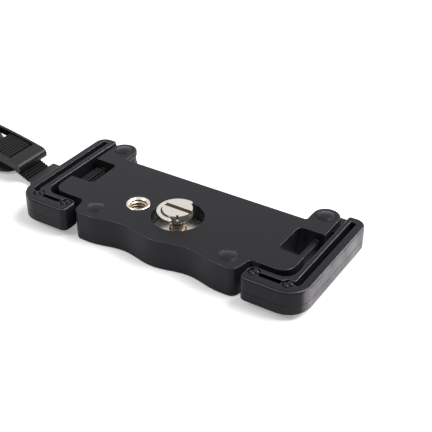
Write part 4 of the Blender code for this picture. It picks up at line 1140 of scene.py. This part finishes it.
# %% World
WORLD_FILL = 0.3
world = bpy.data.worlds.new("white studio")
bpy.context.scene.world = world
world.use_nodes = True
world.node_tree.nodes.clear()
backdrop_level = node(world, "MapRange", inputs={
    "Value": seen_directly(world), "To Min": WORLD_FILL, "To Max": 1.0})
backdrop = node(world, "Background", inputs={
    "Color": (1, 1, 1, 1), "Strength": backdrop_level.outputs["Result"]})
node(world, "OutputWorld", inputs={"Surface": backdrop.outputs["Background"]})
print("world fill:", WORLD_FILL)


# %% Lamps
def soft_box(name, place_mm, side_mm, watts):
    """A square lamp that faces the screw's axis at the table."""
    light = bpy.data.lights.new(name, "AREA")
    light.energy = watts
    light.shape = "RECTANGLE"
    light.size = side_mm * MM
    light.size_y = side_mm * MM
    lamp = bpy.data.objects.new(name, light)
    lamp.location = Vector(place_mm) * MM
    aim = -lamp.location
    lamp.rotation_euler = aim.to_track_quat("-Z", "Y").to_euler()
    bpy.context.scene.collection.objects.link(lamp)
    print(name, watts, "W")


soft_box("key soft box", place_mm=(820, 460, 1450), side_mm=1000, watts=31)
soft_box("edge soft box", place_mm=(640, 850, 500), side_mm=300, watts=5)
soft_box("front soft box", place_mm=(-360, -440, 560), side_mm=240, watts=1.6)

# %% [markdown]
# ## The camera
#
# The camera's place, direction and focal length were fitted to corners measured in the photo.
# The roll is a small turn about the line of sight, in radians.

# %% Camera
CAMERA_EYE = Vector((171.965, -249.519, 210.256)) * MM
CAMERA_AZIMUTH = math.radians(-31.787)
CAMERA_TILT = math.radians(33.132)
CAMERA_ROLL = 0.0054
FOCAL_PX = 940.24
IMAGE_PX = 432
SENSOR_MM = 36
forward = Vector((math.sin(CAMERA_AZIMUTH) * math.cos(CAMERA_TILT),
                  math.cos(CAMERA_AZIMUTH) * math.cos(CAMERA_TILT), -math.sin(CAMERA_TILT)))
level = Vector((math.cos(CAMERA_AZIMUTH), -math.sin(CAMERA_AZIMUTH), 0))
upright = level.cross(forward)
right = level * math.cos(CAMERA_ROLL) + upright * math.sin(CAMERA_ROLL)
up = -level * math.sin(CAMERA_ROLL) + upright * math.cos(CAMERA_ROLL)
camera_data = bpy.data.cameras.new("camera")
camera_data.sensor_width = SENSOR_MM
camera_data.lens = SENSOR_MM * FOCAL_PX / IMAGE_PX
camera_data.clip_start = 0.01
camera_data.clip_end = 20
camera = bpy.data.objects.new("camera", camera_data)
camera_turn = Matrix((right, up, -forward)).transposed().to_4x4()
camera.matrix_world = Matrix.Translation(CAMERA_EYE) @ camera_turn
bpy.context.scene.collection.objects.link(camera)
bpy.context.scene.camera = camera
bpy.context.scene.view_settings.view_transform = "Standard"
print("lens:", round(camera_data.lens, 2), "mm")
